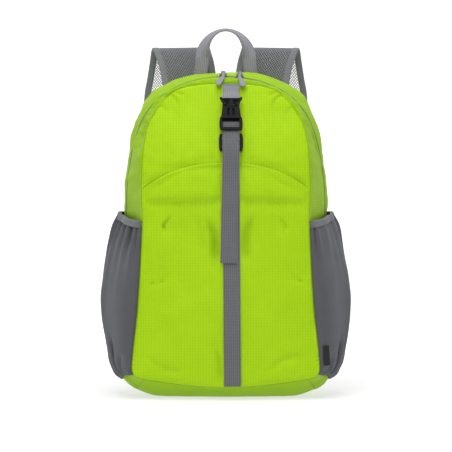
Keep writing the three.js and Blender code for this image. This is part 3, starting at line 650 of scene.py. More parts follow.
def cloth(
    grid: Array, inward: Array, wall: float, weave: Array | None = None, fold_shade: Array | None = None
) -> Surface:
    """Closed cloth wall from a grid of outer points.

    Args:
        grid: Rows of outer points.
        inward: Direction of the inner face at each point.
        wall: Thickness of the cloth.
        weave: Place on the cloth of each point, worked out from the grid if left out.
        fold_shade: How deep each point lies in a fold, in millimetres, which its finish darkens as painted
            shade.

    Returns:
        The closed surface.
    """
    rows, count = grid.shape[:2]
    total = rows * count
    inner = grid + inward * wall
    outer_faces = grid_faces(rows, count)
    inner_faces = grid_faces(rows, count, total)[:, ::-1]
    ids = np.arange(total).reshape(rows, count)
    border = np.concatenate([ids[0, :-1], ids[:-1, -1], ids[-1, :0:-1], ids[:0:-1, 0]])
    following = np.roll(border, -1)
    rim = np.stack([following, border, border + total, following + total], axis=-1)
    middle = (rows // 2, count // 2)
    facing = np.cross(
        grid[middle[0], middle[1] + 1] - grid[middle], grid[middle[0] + 1, middle[1]] - grid[middle]
    )
    faces = np.vstack([outer_faces, inner_faces, rim])
    if facing @ inward[middle] > 0:
        faces = faces[:, ::-1]
    flat = (grid_weave(grid) if weave is None else weave).reshape(-1, 2)
    # Fold depth rides along as a third weave value, for painted shade in the finish.
    if fold_shade is not None:
        flat = np.hstack([flat, fold_shade.reshape(-1, 1)])
    points = np.vstack([grid.reshape(-1, 3), inner.reshape(-1, 3)])
    return Surface(points, faces.tolist(), np.vstack([flat, flat]))


def rolled(grid: Array, inward: Array, sides: Sequence[float], radius: float) -> Array:
    """Grid whose edges roll down into their seams.

    Args:
        grid: Rows of points.
        inward: Direction of the roll at each point.
        sides: Depth of the roll at the first row, last row, first column and last column.
        radius: Distance from the edge at which the roll starts.

    Returns:
        The rolled grid.
    """
    rows = np.linalg.norm(np.diff(grid, axis=0), axis=-1)
    columns = np.linalg.norm(np.diff(grid, axis=1), axis=-1)
    down = np.concatenate([np.zeros((1, grid.shape[1])), np.cumsum(rows, axis=0)])
    across = np.concatenate([np.zeros((grid.shape[0], 1)), np.cumsum(columns, axis=1)], axis=1)
    distances = [down, down[-1:] - down, across, across[:, -1:] - across]
    sink = np.zeros(grid.shape[:2])
    for depth, distance in zip(sides, distances):
        near = np.clip(1 - distance / radius, 0, 1)
        sink = np.maximum(sink, depth * (1 - np.sqrt(1 - near**2)))
    return grid + inward * sink[..., None]


@dataclass
class Run:
    """Course of a strap: centres, width and face directions, and sizes, row by row."""

    centre: Array
    across: Array
    face: Array
    width: Array
    thick: Array

    @classmethod
    def along(cls, centre: Array, across: Any, face: Any, width: Any, thick: Any) -> "Run":
        """Course whose directions and sizes may be given once for all rows."""
        filled = lambda value, *size: np.array(np.broadcast_to(value, (len(centre), *size)), float)
        return cls(centre, filled(across, 3), filled(face, 3), filled(width), filled(thick))

    def finer(self, factor: int) -> "Run":
        """The same course with cubic rows between its rows."""
        steps = np.arange((len(self.centre) - 1) * factor + 1) / factor
        index = np.minimum(steps.astype(int), len(self.centre) - 2)
        share = steps - index

        def filled(values: Array) -> Array:
            """Values at the finer rows."""
            first, last = 2 * values[:1] - values[1:2], 2 * values[-1:] - values[-2:-1]
            padded = np.concatenate([first, values, last])
            part = share.reshape(-1, *([1] * (values.ndim - 1)))
            return cubic(*(padded[index + k] for k in range(4)), part)

        along = unit(np.gradient(filled(self.centre), axis=0))
        across = filled(self.across)
        across = unit(across - along * np.sum(across * along, axis=1, keepdims=True))
        square = np.cross(along, across)
        face = square * np.sign(np.sum(filled(self.face) * square, axis=1, keepdims=True))
        return Run(filled(self.centre), across, face, filled(self.width), filled(self.thick))

    def point(self, across: Any, above: Any = 0.0) -> Array:
        """Points at a distance across from the middle and above the front face."""
        lift = self.thick[:, None] / 2 + above
        return self.centre + self.across * np.reshape(across, (-1, 1)) + self.face * lift

    def length(self) -> Array:
        """Length along the course at each row."""
        steps = np.linalg.norm(np.diff(self.centre, axis=0), axis=1)
        return np.cumsum([0, *steps])


Profile = Callable[[float, float], Array]


def strap_profile(round_share: float = 0.9, bumps: int = 0, bump: float = 0.0) -> Profile:
    """Cross-section of a strap with rounded edges.

    Args:
        round_share: How round the two edges are, from 0 to 1.
        bumps: Number of raised cords across the face.
        bump: Height of the cords.

    Returns:
        A function of width and thickness that gives the closed outline.
    """

    def outline(width: float, thick: float) -> Array:
        """Closed outline, starting at the front face's left edge."""
        radius = thick / 2 * round_share
        flat = np.linspace(-1, 1, 13) * (width / 2 - radius)
        cords = bump * (0.5 + 0.5 * np.cos(np.pi * bumps * flat / (width / 2))) if bumps else 0 * flat
        front = np.stack([flat, thick / 2 + cords], axis=-1)
        turn = np.linspace(0, np.pi, 7)[1:-1]
        right = np.stack([width / 2 - radius + radius * np.sin(turn), thick / 2 * np.cos(turn)], axis=-1)
        back = np.stack([flat[::-1], -thick / 2 - cords], axis=-1)
        left = right[::-1] * [-1, 1]
        return np.vstack([front, right, back, left])

    return outline


def ribbon(run: Run, profile: Profile = strap_profile()) -> Surface:
    """Closed strap along a course.

    Args:
        run: The strap's course.
        profile: Its cross-section.

    Returns:
        The closed surface.
    """
    outlines = np.array([profile(w, t) for w, t in zip(run.width, run.thick)])
    rows, count = outlines.shape[:2]
    wide, deep = run.across[:, None] * outlines[..., :1], run.face[:, None] * outlines[..., 1:]
    points = run.centre[:, None] + wide + deep
    ids = np.arange(rows * count).reshape(rows, count)
    wrapped = np.concatenate([ids, ids[:, :1]], axis=1)
    quads = np.stack([wrapped[:-1, :-1], wrapped[:-1, 1:], wrapped[1:, 1:], wrapped[1:, :-1]], axis=-1)
    faces = quads.reshape(-1, 4)
    outline = points[0]
    turned = np.cross(outline[1] - outline[0], points[1, 0] - points[0, 0]) @ run.face[0] < 0
    faces = faces[:, ::-1] if turned else faces
    start, end = ids[0].tolist(), ids[-1].tolist()
    caps = [start, end[::-1]] if turned else [start[::-1], end]
    along = np.broadcast_to(run.length()[:, None], outlines.shape[:2])
    weave = np.stack([outlines[..., 0], along], axis=-1).reshape(-1, 2)
    return Surface(points.reshape(-1, 3), faces.tolist() + caps, weave)


def stitches(path: Array, up: Any, step: float = 3.4, long: float = 2.5, thick: float = 0.55) -> Surface:
    """Row of sewn stitches on a path.

    Args:
        path: Points on the cloth.
        up: Direction away from the cloth at each point, or one for all.
        step: Distance between stitches.
        long: Length of a stitch.
        thick: Thickness of the thread.

    Returns:
        One surface of all the stitches.
    """
    lengths = np.cumsum([0, *np.linalg.norm(np.diff(path, axis=0), axis=1)])
    count = max(1, int(lengths[-1] / step))
    places = (np.arange(count) + 0.5) * lengths[-1] / count
    sample = lambda values, s: np.stack([np.interp(s, lengths, values[:, k]) for k in range(3)], axis=-1)
    middle, away = sample(path, places), unit(sample(np.broadcast_to(up, path.shape), places))
    along = unit(sample(path, places + 0.5) - sample(path, places - 0.5))
    side = np.cross(along, away)
    rings = [(-0.5, 0.15, -0.5), (-0.3, 0.9, 0.1), (0.3, 0.9, 0.1), (0.5, 0.15, -0.5)]
    around = np.linspace(0, 2 * np.pi, 7)[:-1]
    points = np.stack([
        middle + along * (long * place) + side * (thick / 2 * size * math.cos(a))
        + away * (thick / 2 * (size * math.sin(a) + drop))
        for place, size, drop in rings for a in around
    ], axis=1)
    template = [
        [6 * r + a, 6 * r + (a + 1) % 6, 6 * r + 6 + (a + 1) % 6, 6 * r + 6 + a]
        for r in range(3) for a in range(6)
    ] + [list(range(5, -1, -1)), list(range(18, 24))]
    faces = [[24 * i + k for k in face] for i in range(count) for face in template]
    return Surface(points.reshape(-1, 3), faces, np.zeros((24 * count, 2)))


Loop = Sequence[tuple[float, float]]


def rounded(loop: Loop, turns: int = 2) -> list[tuple[float, float]]:
    """Closed outline whose corners are cut off again and again."""
    points = np.array(loop, float)
    for _ in range(turns):
        following = np.roll(points, -1, axis=0)
        points = np.stack([mix(points, following, 0.22), mix(points, following, 0.78)], axis=1).reshape(-1, 2)
    return [tuple(point) for point in points]


def flipped(loop: Loop) -> list[tuple[float, float]]:
    """Mirror image of an outline, which runs the same way round."""
    return [(-x, y) for x, y in reversed(loop)]


def both(half: Loop) -> list[tuple[float, float]]:
    """Outline from its right half and the mirror image of it."""
    return [*half, *flipped(half)]


def box(x0: float, y0: float, x1: float, y1: float, cut: float = 0.0) -> list[tuple[float, float]]:
    """Rectangle as an outline, with its corners cut off by a length."""
    if not cut:
        return [(x0, y0), (x1, y0), (x1, y1), (x0, y1)]
    low = [(x0, y0 + cut), (x0 + cut, y0), (x1 - cut, y0), (x1, y0 + cut)]
    return low + [(x1, y1 - cut), (x1 - cut, y1), (x0 + cut, y1), (x0, y1 - cut)]


def plate(outline: Loop, holes: Sequence[Loop], low: float, high: float, bevel: float = 0.35) -> Surface:
    """Moulded plate with rounded edges, drawn in width and height.

    Args:
        outline: Its outline, in millimetres.
        holes: Outlines of its holes.
        low: Layer of its back face.
        high: Layer of its front face.
        bevel: Radius of its edges.

    Returns:
        The closed surface, with its layers along Z.
    """
    curve = bpy.data.curves.new("plate_outline", "CURVE")
    curve.dimensions = "2D"
    curve.fill_mode = "BOTH"
    curve.extrude = (high - low) / 2 - bevel
    curve.bevel_depth = bevel
    curve.bevel_resolution = 2
    curve.offset = -bevel
    for loop in (outline, *holes):
        spline = curve.splines.new("POLY")
        spline.points.add(len(loop) - 1)
        for point, (x, y) in zip(spline.points, loop):
            point.co = (x, y, 0, 1)
        spline.use_cyclic_u = True
    drawn = bpy.data.objects.new("plate_outline", curve)
    bpy.context.scene.collection.objects.link(drawn)
    mesh = bpy.data.meshes.new_from_object(drawn.evaluated_get(bpy.context.evaluated_depsgraph_get()))
    points = np.array([vertex.co[:] for vertex in mesh.vertices]) + [0, 0, (low + high) / 2]
    faces = [list(polygon.vertices) for polygon in mesh.polygons]
    bpy.data.objects.remove(drawn)
    bpy.data.curves.remove(curve)
    bpy.data.meshes.remove(mesh)
    return Surface(points, faces, points[:, :2].copy())


# The bag's shape, with the same values as its CAD source


@dataclass(frozen=True)
class BagShape:
    """Half outline from crown centre to base centre, lofted over four rings.

    Section columns are X in half widths, Z in heights and Y in depths.
    """

    half_width: float = 150.0
    height: float = 472.0
    depth: float = 150.0
    front_swell: float = 17.0
    back_swell: float = 5.0
    arch_rise: float = 38.0
    zip_width: float = 6.0
    gap: float = 0.3
    seam_top: float = -0.333
    seam_side: float = -0.413
    seam_fade: float = 0.75
    shoulder: float = 3.6
    arch: float = 7.0
    corner: float = 12.0
    gusset_foot: float = 12.6
    zip_foot: float = 8.6
    columns: tuple[str, ...] = (
        "seamX", "seamZ", "zipX", "zipZ", "zipY", "ridgeX", "ridgeZ", "ridgeY", "backX", "backZ", "backY",
    )
    sections: tuple[tuple[float, ...], ...] = (
        (0.000, 0.957, 0.000, 0.981, -0.265, 0.000, 1.000, 0.067, 0.000, 0.985, 0.360),
        (0.272, 0.953, 0.289, 0.970, -0.262, 0.332, 0.993, 0.070, 0.300, 0.978, 0.365),
        (0.462, 0.938, 0.496, 0.946, -0.250, 0.566, 0.968, 0.080, 0.520, 0.954, 0.375),
        (0.585, 0.907, 0.650, 0.914, -0.225, 0.748, 0.932, 0.100, 0.680, 0.918, 0.390),
        (0.694, 0.860, 0.775, 0.868, -0.175, 0.853, 0.874, 0.120, 0.785, 0.862, 0.405),
        (0.760, 0.805, 0.861, 0.810, -0.100, 0.921, 0.810, 0.150, 0.850, 0.800, 0.415),
        (0.794, 0.726, 0.925, 0.733, -0.020, 0.953, 0.729, 0.180, 0.885, 0.725, 0.425),
        (0.802, 0.633, 0.965, 0.637, 0.030, 0.980, 0.636, 0.200, 0.910, 0.635, 0.430),
        (0.797, 0.536, 0.966, 0.543, 0.060, 0.982, 0.543, 0.200, 0.920, 0.543, 0.430),
        (0.816, 0.392, 0.940, 0.414, 0.070, 0.955, 0.419, 0.200, 0.910, 0.419, 0.430),
        (0.845, 0.256, 0.950, 0.283, 0.070, 0.965, 0.285, 0.200, 0.920, 0.285, 0.430),
        (0.883, 0.144, 0.980, 0.161, 0.060, 1.000, 0.155, 0.190, 0.935, 0.160, 0.425),
        (0.878, 0.076, 0.965, 0.066, -0.060, 0.995, 0.050, 0.150, 0.915, 0.072, 0.415),
        (0.683, 0.057, 0.735, 0.020, -0.170, 0.745, 0.004, 0.090, 0.700, 0.028, 0.400),
        (0.361, 0.044, 0.385, 0.010, -0.190, 0.400, -0.008, 0.070, 0.380, 0.010, 0.385),
        (0.000, 0.039, 0.000, 0.007, -0.190, 0.000, -0.010, 0.070, 0.000, 0.006, 0.380),
    )
    dents: tuple[tuple[float, ...], ...] = (
        (-0.30, 0.600, 0.55, 0.012, 1.6),
        (0.38, 0.600, 0.50, 0.012, 1.6),
        (-0.09, 0.470, 0.05, 0.060, 3.0),
        (0.19, 0.470, 0.05, 0.060, 3.0),
        (-0.47, 0.520, 0.07, 0.020, 2.2),
        (0.47, 0.520, 0.07, 0.020, 2.2),
        (-0.62, 0.380, 0.08, 0.020, 2.0),
        (0.60, 0.385, 0.08, 0.020, 2.0),
        (-0.50, 0.880, 0.05, 0.030, 3.0),
        (0.50, 0.880, 0.05, 0.030, 3.0),
        (-0.05, 0.300, 0.30, 0.100, -2.5),
        (0.15, 0.760, 0.40, 0.070, -2.0),
        (0.00, 0.700, 0.70, 0.012, 1.8),
    )

    @property
    def last(self) -> int:
        """Station of the base centre."""
        return len(self.sections) - 1

    def column(self, name: str, station: Any) -> Array:
        """Value of a section column at stations, mirrored at the crown and the base."""
        values = np.array(self.sections)[:, self.columns.index(name)]
        sign = -1 if name.endswith("X") else 1
        padded = np.array([sign * values[1], *values, sign * values[-2]])
        place = np.abs(np.asarray(station, float))
        index = np.minimum(np.floor(place).astype(int), self.last - 1)
        near = [padded[index + k] for k in range(4)]
        return cubic(*near, place - index)

    def seam_depth(self, z: Any) -> Array:
        """Depth of the front seam at a height."""
        top = self.height * self.column("seamZ", 0)
        fade = smooth((top - z) / (self.height * (1 - self.seam_fade)))
        return self.depth * mix(self.seam_top, self.seam_side, fade)

    def ring(self, name: str, station: Any) -> Array:
        """Points of one of the four rings, with positive stations on the +X side."""
        station = np.asarray(station, float)
        side = np.where(station < 0, -1.0, 1.0)
        x = side * self.half_width * self.column(name + "X", station)
        z = self.height * self.column(name + "Z", station)
        y = self.seam_depth(z) if name == "seam" else self.depth * self.column(name + "Y", station)
        return at(x, y, z)

    def body(self, station: Any, across: Any) -> Array:
        """Points between the front seam (0), the zip (1), the ridge (2) and the back seam (3)."""
        station, across = np.broadcast_arrays(np.asarray(station, float), np.asarray(across, float))
        rings = [self.ring(name, station) for name in ("seam", "zip", "ridge", "back")]
        before = rings[0] * 1.55 - rings[1] * 0.55 + [0, 0.05 * self.depth, 0]
        after = rings[3] * 1.5 - rings[2] * 0.5
        knots = np.stack([before, *rings, after])
        index = np.clip(np.floor(across).astype(int), 0, 2)
        near = [np.take_along_axis(knots, (index + k)[None, ..., None], axis=0)[0] for k in range(4)]
        points = cubic(*near, (across - index)[..., None])
        points[..., 2] = np.maximum(points[..., 2], 0)
        return points

    def outward(self, points: Array) -> Array:
        """Outward direction, the same for every cloth that meets at a seam."""
        x = points[..., 0] / self.half_width
        y = points[..., 1] / (0.52 * self.depth)
        z = 2 * points[..., 2] / self.height - 1
        sizes = (self.half_width, self.depth / 2, self.height / 2)
        falls = [np.sign(v) * np.abs(v) ** 3.4 / size for v, size in zip((x, y, z), sizes)]
        return unit(np.stack(falls, axis=-1))

    def beside(self, station: Any, knot: int, length: Any) -> Array:
        """Place across the body, a length away from a ring."""
        station, length = np.broadcast_arrays(np.asarray(station, float), np.asarray(length, float))
        other = knot + np.sign(length)
        step = np.linalg.norm(self.body(station, knot) - self.body(station, other), axis=-1)
        return knot + length / step

    def front(self, x: Any, z: Any) -> Array:
        """Depth of the front cloth at any place inside the front seam."""
        stations = np.linspace(0, self.last, 3000)
        heights = self.height * self.column("seamZ", stations)
        widths = self.half_width * self.column("seamX", stations)
        reach = np.maximum(1, np.interp(z, heights[::-1], widths[::-1]))
        edge = np.clip(1 - np.minimum(1, np.abs(x) / reach) ** 2.4, 0, 1)
        level = (z - heights[-1]) / (heights[0] - heights[-1])
        rise = np.clip(1 - np.abs(2 * level - 0.86) ** 2.6 / 1.14**2.6, 0, 1) ** 0.75
        fill = edge * rise
        dent = sum(
            deep * np.exp(-((x / self.half_width - px) / rx) ** 2 - ((z / self.height - pz) / rz) ** 2)
            for px, pz, rx, rz, deep in self.dents
        )
        return self.seam_depth(z) - self.front_swell * fill + dent * smooth(fill * 2.5)

    def arch_point(self, u: Any) -> Array:
        """Points of the arched pocket seam, from -1 at the left to 1 at the right."""
        end = self.ring("seam", self.arch)
        x = np.asarray(u, float) * end[0]
        z = end[2] + self.arch_rise * (1 - np.abs(u) ** 2.5)
        return at(x, self.front(x, z), z)


Curve = Callable[[Any], Array]
SideCurve = Callable[[int, Any], Array]


def coons(u: Array, v: Array, foot: Curve, head: Curve, side: SideCurve) -> Array:
    """Four sided patch from its foot, head and side curves.

    Args:
        u: Shares across from -1 to 1.
        v: Shares up from 0 to 1.
        foot: Curve of the lower edge over u.
        head: Curve of the upper edge over u.
        side: Curves of the left (-1) and right (1) edge over v.

    Returns:
        A grid of points, one row to each v.
    """
    right = ((u + 1) / 2)[None, :, None]
    up = v[:, None, None]
    ruled = mix(foot(u)[None], head(u)[None], up) + mix(side(-1, v)[:, None], side(1, v)[:, None], right)
    ends = np.array([-1.0, 1.0])
    low, high = foot(ends), head(ends)
    corners = mix(mix(low[0], low[1], right), mix(high[0], high[1], right), up)
    return ruled - corners


@dataclass
class BodyCloth:
    """Ripstop shell: two front panels, gussets, base and back, with their folds and seams."""

    shape: BagShape
    wall: float = 0.9
    roll: float = 1.5
    roll_radius: float = 3.2
    across_steps: int = 150
    up_steps: int = 130
    crown_steps: int = 74
    sag_level: float = 279.0
    sag_half: float = 126.0
    sag_lift: float = 1.8
    sag_depth: float = 1.6
    comb_pitch: float = 3.9
    comb_depth: float = 0.7
    arch_lift: float = 0.8
    arch_valley: float = 2.2
    strap_x: float = 7.4
    strap_half: float = 13.0
    creases: tuple[tuple[float, ...], ...] = (
        (-27, 258, -15, 196, 6, 6.5, 3.4),
        (40, 264, 29, 198, -6, 6.5, 3.4),
        (-44, 262, -32, 214, 4, 5.0, 1.4),
        (54, 262, 44, 214, -4, 5.0, 1.4),
        (-89, 240, -78, 260, 3, 2.2, 3.0),
        (86, 240, 76, 258, -3, 2.2, 3.0),
        (-93, 250, -84, 243, 1, 2.0, 1.6),
        (-112, 166, -84, 173, -4, 2.4, 2.4),
        (112, 164, 84, 174, -4, 2.4, 2.4),
        (-84, 436, -68, 418, 4, 2.6, 1.6),
        (-96, 420, -82, 408, 2, 3.4, 1.1),
        (-76, 443, -58, 434, -2, 2.4, 1.3),
        (84, 436, 66, 414, -5, 2.6, 1.6),
        (98, 418, 84, 404, -2, 3.4, 1.1),
        (76, 443, 60, 434, 2, 2.4, 1.3),
        (-14, 74, -9, 26, 3, 3.4, 2.8),
        (-112, 60, -60, 42, -6, 6.0, 2.0),
        (110, 62, 62, 44, -6, 6.0, 2.0),
        (-100, 300, -60, 324, 4, 4.0, 1.6),
        (98, 300, 60, 324, 4, 4.0, 1.6),
        (-22, 380, -24, 300, 3, 6.0, 1.5),
        (36, 380, 38, 300, -3, 6.0, 1.5),
    )

    def creased(self, x: Array, z: Array) -> Array:
        """Inward depth of the creases, whose rows are two ends, a bow, a width and a depth."""
        total = np.zeros(np.shape(x))
        for x0, z0, x1, z1, bow, width, depth in self.creases:
            run = np.array([x1 - x0, z1 - z0], float)
            long = float(np.hypot(*run))
            along, side = run / long, np.array([-run[1], run[0]]) / long
            s = ((x - x0) * along[0] + (z - z0) * along[1]) / long
            off = (x - x0) * side[0] + (z - z0) * side[1] - bow * np.sin(np.pi * np.clip(s, 0, 1))
            total += depth * bell(off, width) * smooth((s + 0.15) / 0.4) * smooth((1.15 - s) / 0.4)
        return total

    def front_relief(self, x: Array, z: Array) -> Array:
        """Outward height on the front, in millimetres: crinkles, drape, creases and the sagging band."""
        crinkle = 0.45 * ripple(x / 26, z / 20, 3) + 0.20 * ripple(x / 7, z / 9, 4)
        drape = 0.9 * ripple(x / 60, z / 45, 5, 1)
        band = smooth((self.sag_half - np.abs(x)) / 24)
        above, fade = z - self.sag_level, smooth((350 - z) / 60)
        fold = self.sag_lift * smooth((above - 1) / 9) * fade * band
        comb = self.comb_depth * np.cos(2 * np.pi * x / self.comb_pitch) * bell(above, 5) * band
        fold += comb - self.sag_depth * bell(above + 1, 6.5) * band
        clear = smooth((np.abs(x - self.strap_x) - self.strap_half) / 12)
        return (crinkle + drape + fold) * clear - self.creased(x, z)

    def front_panel(
        self, name: str, rows: int, foot: Curve, head: Curve, side: SideCurve, below_arch: bool
    ) -> None:
        """Builds one of the two front panels.

        Args:
            name: The CAD node that it replaces.
            rows: Steps up the panel.
            foot: Its lower edge.
            head: Its upper edge.
            side: Its side edges.
            below_arch: True for the pocket panel, whose head is the arched seam.
        """
        shape = self.shape
        u = mix(-1, 1, dense_ends(self.across_steps)) * (1 - shape.gap / 2 / shape.half_width)
        v = dense_ends(rows)
        flat = coons(u, v, foot, head, side)
        x, z = flat[..., 0], flat[..., 2]
        grid = at(x, shape.front(x, z), z)
        near = np.minimum(1 - np.abs(u)[None, :], np.minimum(v, 1 - v)[:, None] * 1.6)
        lift = self.front_relief(x, z) * smooth(near / 0.09)
        arch_z = shape.arch_point(np.clip(x / shape.ring("seam", shape.arch)[0], -1, 1))[..., 2]
        inside = smooth((1 - np.abs(u)) / 0.08)[None, :]
        if below_arch:
            below = arch_z - z
            lift += inside * self.arch_lift * (smooth(below / 1.5) * smooth((11 - below) / 8))
            lift -= 0.4 * bell(below - 5.5, 0.9)
            rolls = (self.roll, 0.7, self.roll, self.roll)
        else:
            above = z - arch_z
            valley = self.arch_valley * (0.3 + 0.7 * np.abs(u)[None, :] ** 1.2)
            lift -= inside * valley * (1 - smooth(above / 15))
            rolls = (0.3, self.roll, self.roll, self.roll)
        lift += self.gathers(u, v, rows) * smooth(near / 0.03)
        grid[..., 1] -= lift
        inward = -shape.outward(grid)
        grid = rolled(grid, inward, rolls, self.roll_radius)
        # The fold depths, as -lift, darken the finish as painted shade in the folds, creases and the valley
        # above the arch.
        made = cloth(grid, inward, self.wall, np.stack([x, z], axis=-1), -lift)
        put(name + "_cloth", made, Stuff.RIPSTOP, name)

    def gathers(self, u: Array, v: Array, seed: int) -> Array:
        """Short puckers that run out from the panel's side seams."""
        pitch = 0.035
        wave = np.cos(2 * np.pi * (v[:, None] / pitch + 0.6 * ripple(v[:, None] * 9, 0 * v[:, None], seed)))
        uneven = 0.5 + 0.5 * ripple(v[:, None] * 13, np.sign(u)[None, :] * 5 + 0 * v[:, None], seed + 1)
        return 0.9 * wave * uneven * bell(1 - np.abs(u)[None, :], 0.08)

    def fronts(self) -> None:
        """Builds the pocket panel and the panel above it."""
        shape = self.shape
        side_of = lambda u: np.where(u < 0, -1.0, 1.0)
        low_foot = lambda u: shape.ring("seam", side_of(u) * mix(shape.last, shape.corner, np.abs(u)))
        low_side = lambda side, v: shape.ring("seam", side * mix(shape.corner, shape.arch, v))
        high_head = lambda u: shape.ring("seam", shape.shoulder * u)
        high_side = lambda side, v: shape.ring("seam", side * mix(shape.arch, shape.shoulder, v))
        arch = shape.arch_point
        self.front_panel("front_panel_lower", self.up_steps, low_foot, arch, low_side, True)
        self.front_panel("front_panel_upper", self.crown_steps, arch, high_head, high_side, False)

    def zip_edge(self, station: Array) -> Array:
        """Half the opening for the zip at a station."""
        closed = smooth((np.abs(station) - self.shape.zip_foot) / 0.4)
        gape = np.clip(0.34 + 0.26 * ripple(station * 1.7, 0 * station, 15), 0.05, 0.8)
        return self.shape.gap / 2 + self.shape.zip_width / 2 * gape * (1 - closed)

    def band(
        self, name: str, stations: Array, low: Curve, high: Curve, steps: int,
        rolls: tuple[float, float], folds: Callable[[Array, Array], Array],
    ) -> None:
        """Builds cloth between two edges round the body.

        Args:
            name: The CAD node that it replaces.
            stations: Its stations, in order.
            low: Place across of its front edge, by station.
            high: Place across of its rear edge, by station.
            steps: Steps across it.
            rolls: How far its front and rear edge roll into their seams.
            folds: Outward height by station and place across.
        """
        share = dense_ends(steps)
        across = mix(low(stations)[:, None], high(stations)[:, None], share[None, :])
        grid = self.shape.body(stations[:, None], across)
        out = self.shape.outward(grid)
        quiet = smooth(np.minimum(share, 1 - share) / 0.16)[None, :]
        lift = folds(np.broadcast_to(stations[:, None], across.shape), across) * quiet
        lift *= smooth(grid[..., 2] / 14)
        grid = rolled(grid + out * lift[..., None], -out, (0, 0, *rolls), self.roll_radius)
        grid[..., 2] = np.maximum(grid[..., 2], 0)
        # The fold depths, as -lift, darken the finish as painted shade, on the darker ripstop copy that
        # stands for shade on cloth facing aside or down.
        put(name + "_cloth", cloth(grid, -out, self.wall, fold_shade=-lift), Stuff.SIDE_RIPSTOP, name)

    def bands(self) -> None:
        """Builds both gussets and the base."""
        shape = self.shape
        gap, foot = shape.gap, shape.gusset_foot

        def front_folds(station: Array, across: Array) -> Array:
            """Slack folds of the front gusset, strongest at the shoulders."""
            shoulder = bell(np.abs(station) - 4.4, 2.6)
            slack = 1.8 * ripple(station * 1.3, across * 1.2, 21)
            slack += 1.0 * ripple(station * 3.5, across * 2, 22)
            return slack * (0.6 + 0.9 * shoulder)

        def rear_folds(station: Array, across: Array) -> Array:
            """Softer folds of the rear gusset."""
            return 1.4 * ripple(station * 1.0, across * 1.5, 31) + 0.7 * ripple(station * 3.2, across * 4, 32)

        around = np.linspace(-foot, foot, 461)
        seam = lambda s: shape.beside(s, 0, gap / 2)
        back = lambda s: shape.beside(s, 3, -gap / 2)
        self.band(
            "front_gusset", around, seam, lambda s: shape.beside(s, 1, -self.zip_edge(s)), 22,
            (self.roll, 1.0), front_folds,
        )
        self.band(
            "rear_gusset", around, lambda s: shape.beside(s, 1, self.zip_edge(s)), back, 40,
            (1.0, self.roll), rear_folds,
        )
        nudge = gap / 30
        base = np.linspace(foot + nudge, 2 * shape.last - foot - nudge, 111)
        base = np.where(base > shape.last, base - 2 * shape.last, base)
        calm = lambda station, across: 0.8 * ripple(station * 1.5, across * 3, 41)
        self.band("bottom_panel", base, seam, back, 44, (self.roll, self.roll), calm)

    def back(self) -> None:
        """Builds the back panel."""
        shape = self.shape
        u = mix(-1, 1, dense_ends(110)) * (1 - shape.gap / 2 / shape.half_width)
        v = dense_ends(150)
        ring = lambda station: shape.ring("back", station)
        side_of = lambda share: np.where(share < 0, -1.0, 1.0)
        grid = coons(
            u, v,
            lambda share: ring(side_of(share) * mix(shape.last, shape.corner, np.abs(share))),
            lambda share: ring(shape.shoulder * share),
            lambda side, share: ring(side * mix(shape.corner, shape.shoulder, share)),
        )
        grid[..., 1] += shape.back_swell * (1 - u[None, :] ** 2) * (1 - (2 * v[:, None] - 1) ** 2)
        quiet = smooth(np.minimum(1 - np.abs(u)[None, :], 2 * np.minimum(v, 1 - v)[:, None]) / 0.12)
        x, z = grid[..., 0], grid[..., 2]
        grid[..., 1] += quiet * (0.9 * ripple(x / 55, z / 60, 51) + 0.3 * ripple(x / 14, z / 16, 52))
        inward = -shape.outward(grid)
        grid = rolled(grid, inward, (self.roll,) * 4, self.roll_radius)
        weave = np.stack([grid[..., 0], grid[..., 2]], axis=-1)
        put("back_panel_cloth", cloth(grid, inward, self.wall, weave), Stuff.RIPSTOP, "back_panel")

    def sewing(self) -> None:
        """Sews the topstitching beside the arch, the front seam and the zip."""
        shape = self.shape
        rows = []
        u = np.linspace(-0.97, 0.97, 160)
        arch = shape.arch_point(u)
        x, z = arch[:, 0], arch[:, 2] - 5.5
        path = at(x, shape.front(x, z) - self.front_relief(x, z) - self.arch_lift * 0.6, z)
        rows.append(stitches(path, [0.0, -1.0, 0.0]))
        around = np.linspace(-12.3, 12.3, 501)
        for knot, length in ((0, 5.0), (3, -5.0)):
            path = shape.body(around, shape.beside(around, knot, length))
            rows.append(stitches(path, shape.outward(path)))
        sewn = np.linspace(-shape.zip_foot, shape.zip_foot, 401)
        for length in (-7.0, 7.0):
            path = shape.body(sewn, shape.beside(sewn, 1, length))
            out = shape.outward(path)
            rows.append(stitches(path + out * 0.1, out))
        put("body_stitches", joined(rows), Stuff.LIME_THREAD)

    def build(self) -> None:
        """Builds all the cloth and its sewing."""
        self.fronts()
        self.bands()
        self.back()
        self.sewing()


class Skin:
    """Finds places on pieces that are already built, so that others can lie on them."""

    def __init__(self, *pieces: bpy.types.Object) -> None:
        """Collects the faces of the pieces."""
        points: list[Vector] = []
        faces: list[tuple[int, ...]] = []
        for piece in pieces:
            start = len(points)
            points += [piece.matrix_world @ vertex.co for vertex in piece.data.vertices]
            faces += [tuple(start + i for i in polygon.vertices) for polygon in piece.data.polygons]
        self.tree = BVHTree.FromPolygons(points, faces)

    def under(self, path: Array, toward: Array, reach: float = 12.0) -> tuple[Array, Array]:
        """Places on the pieces below a path.

        Args:
            path: Points near the pieces, in millimetres.
            toward: Direction from outside to the pieces at each point.
            reach: How far outside the search starts.

        Returns:
            The places, and the pieces' outward direction at each.
        """
        found, normals = [], []
        for point, direction in zip(path, unit(toward)):
            start = Vector((point - direction * reach) * MM)
            place, normal, _, _ = self.tree.ray_cast(start, Vector(direction), 3 * reach * MM)
            found.append(point if place is None else np.array(place) / MM)
            facing = -direction if normal is None else np.array(normal)
            normals.append(facing if facing @ direction < 0 else -facing)
        return np.array(found), unit(np.array(normals))


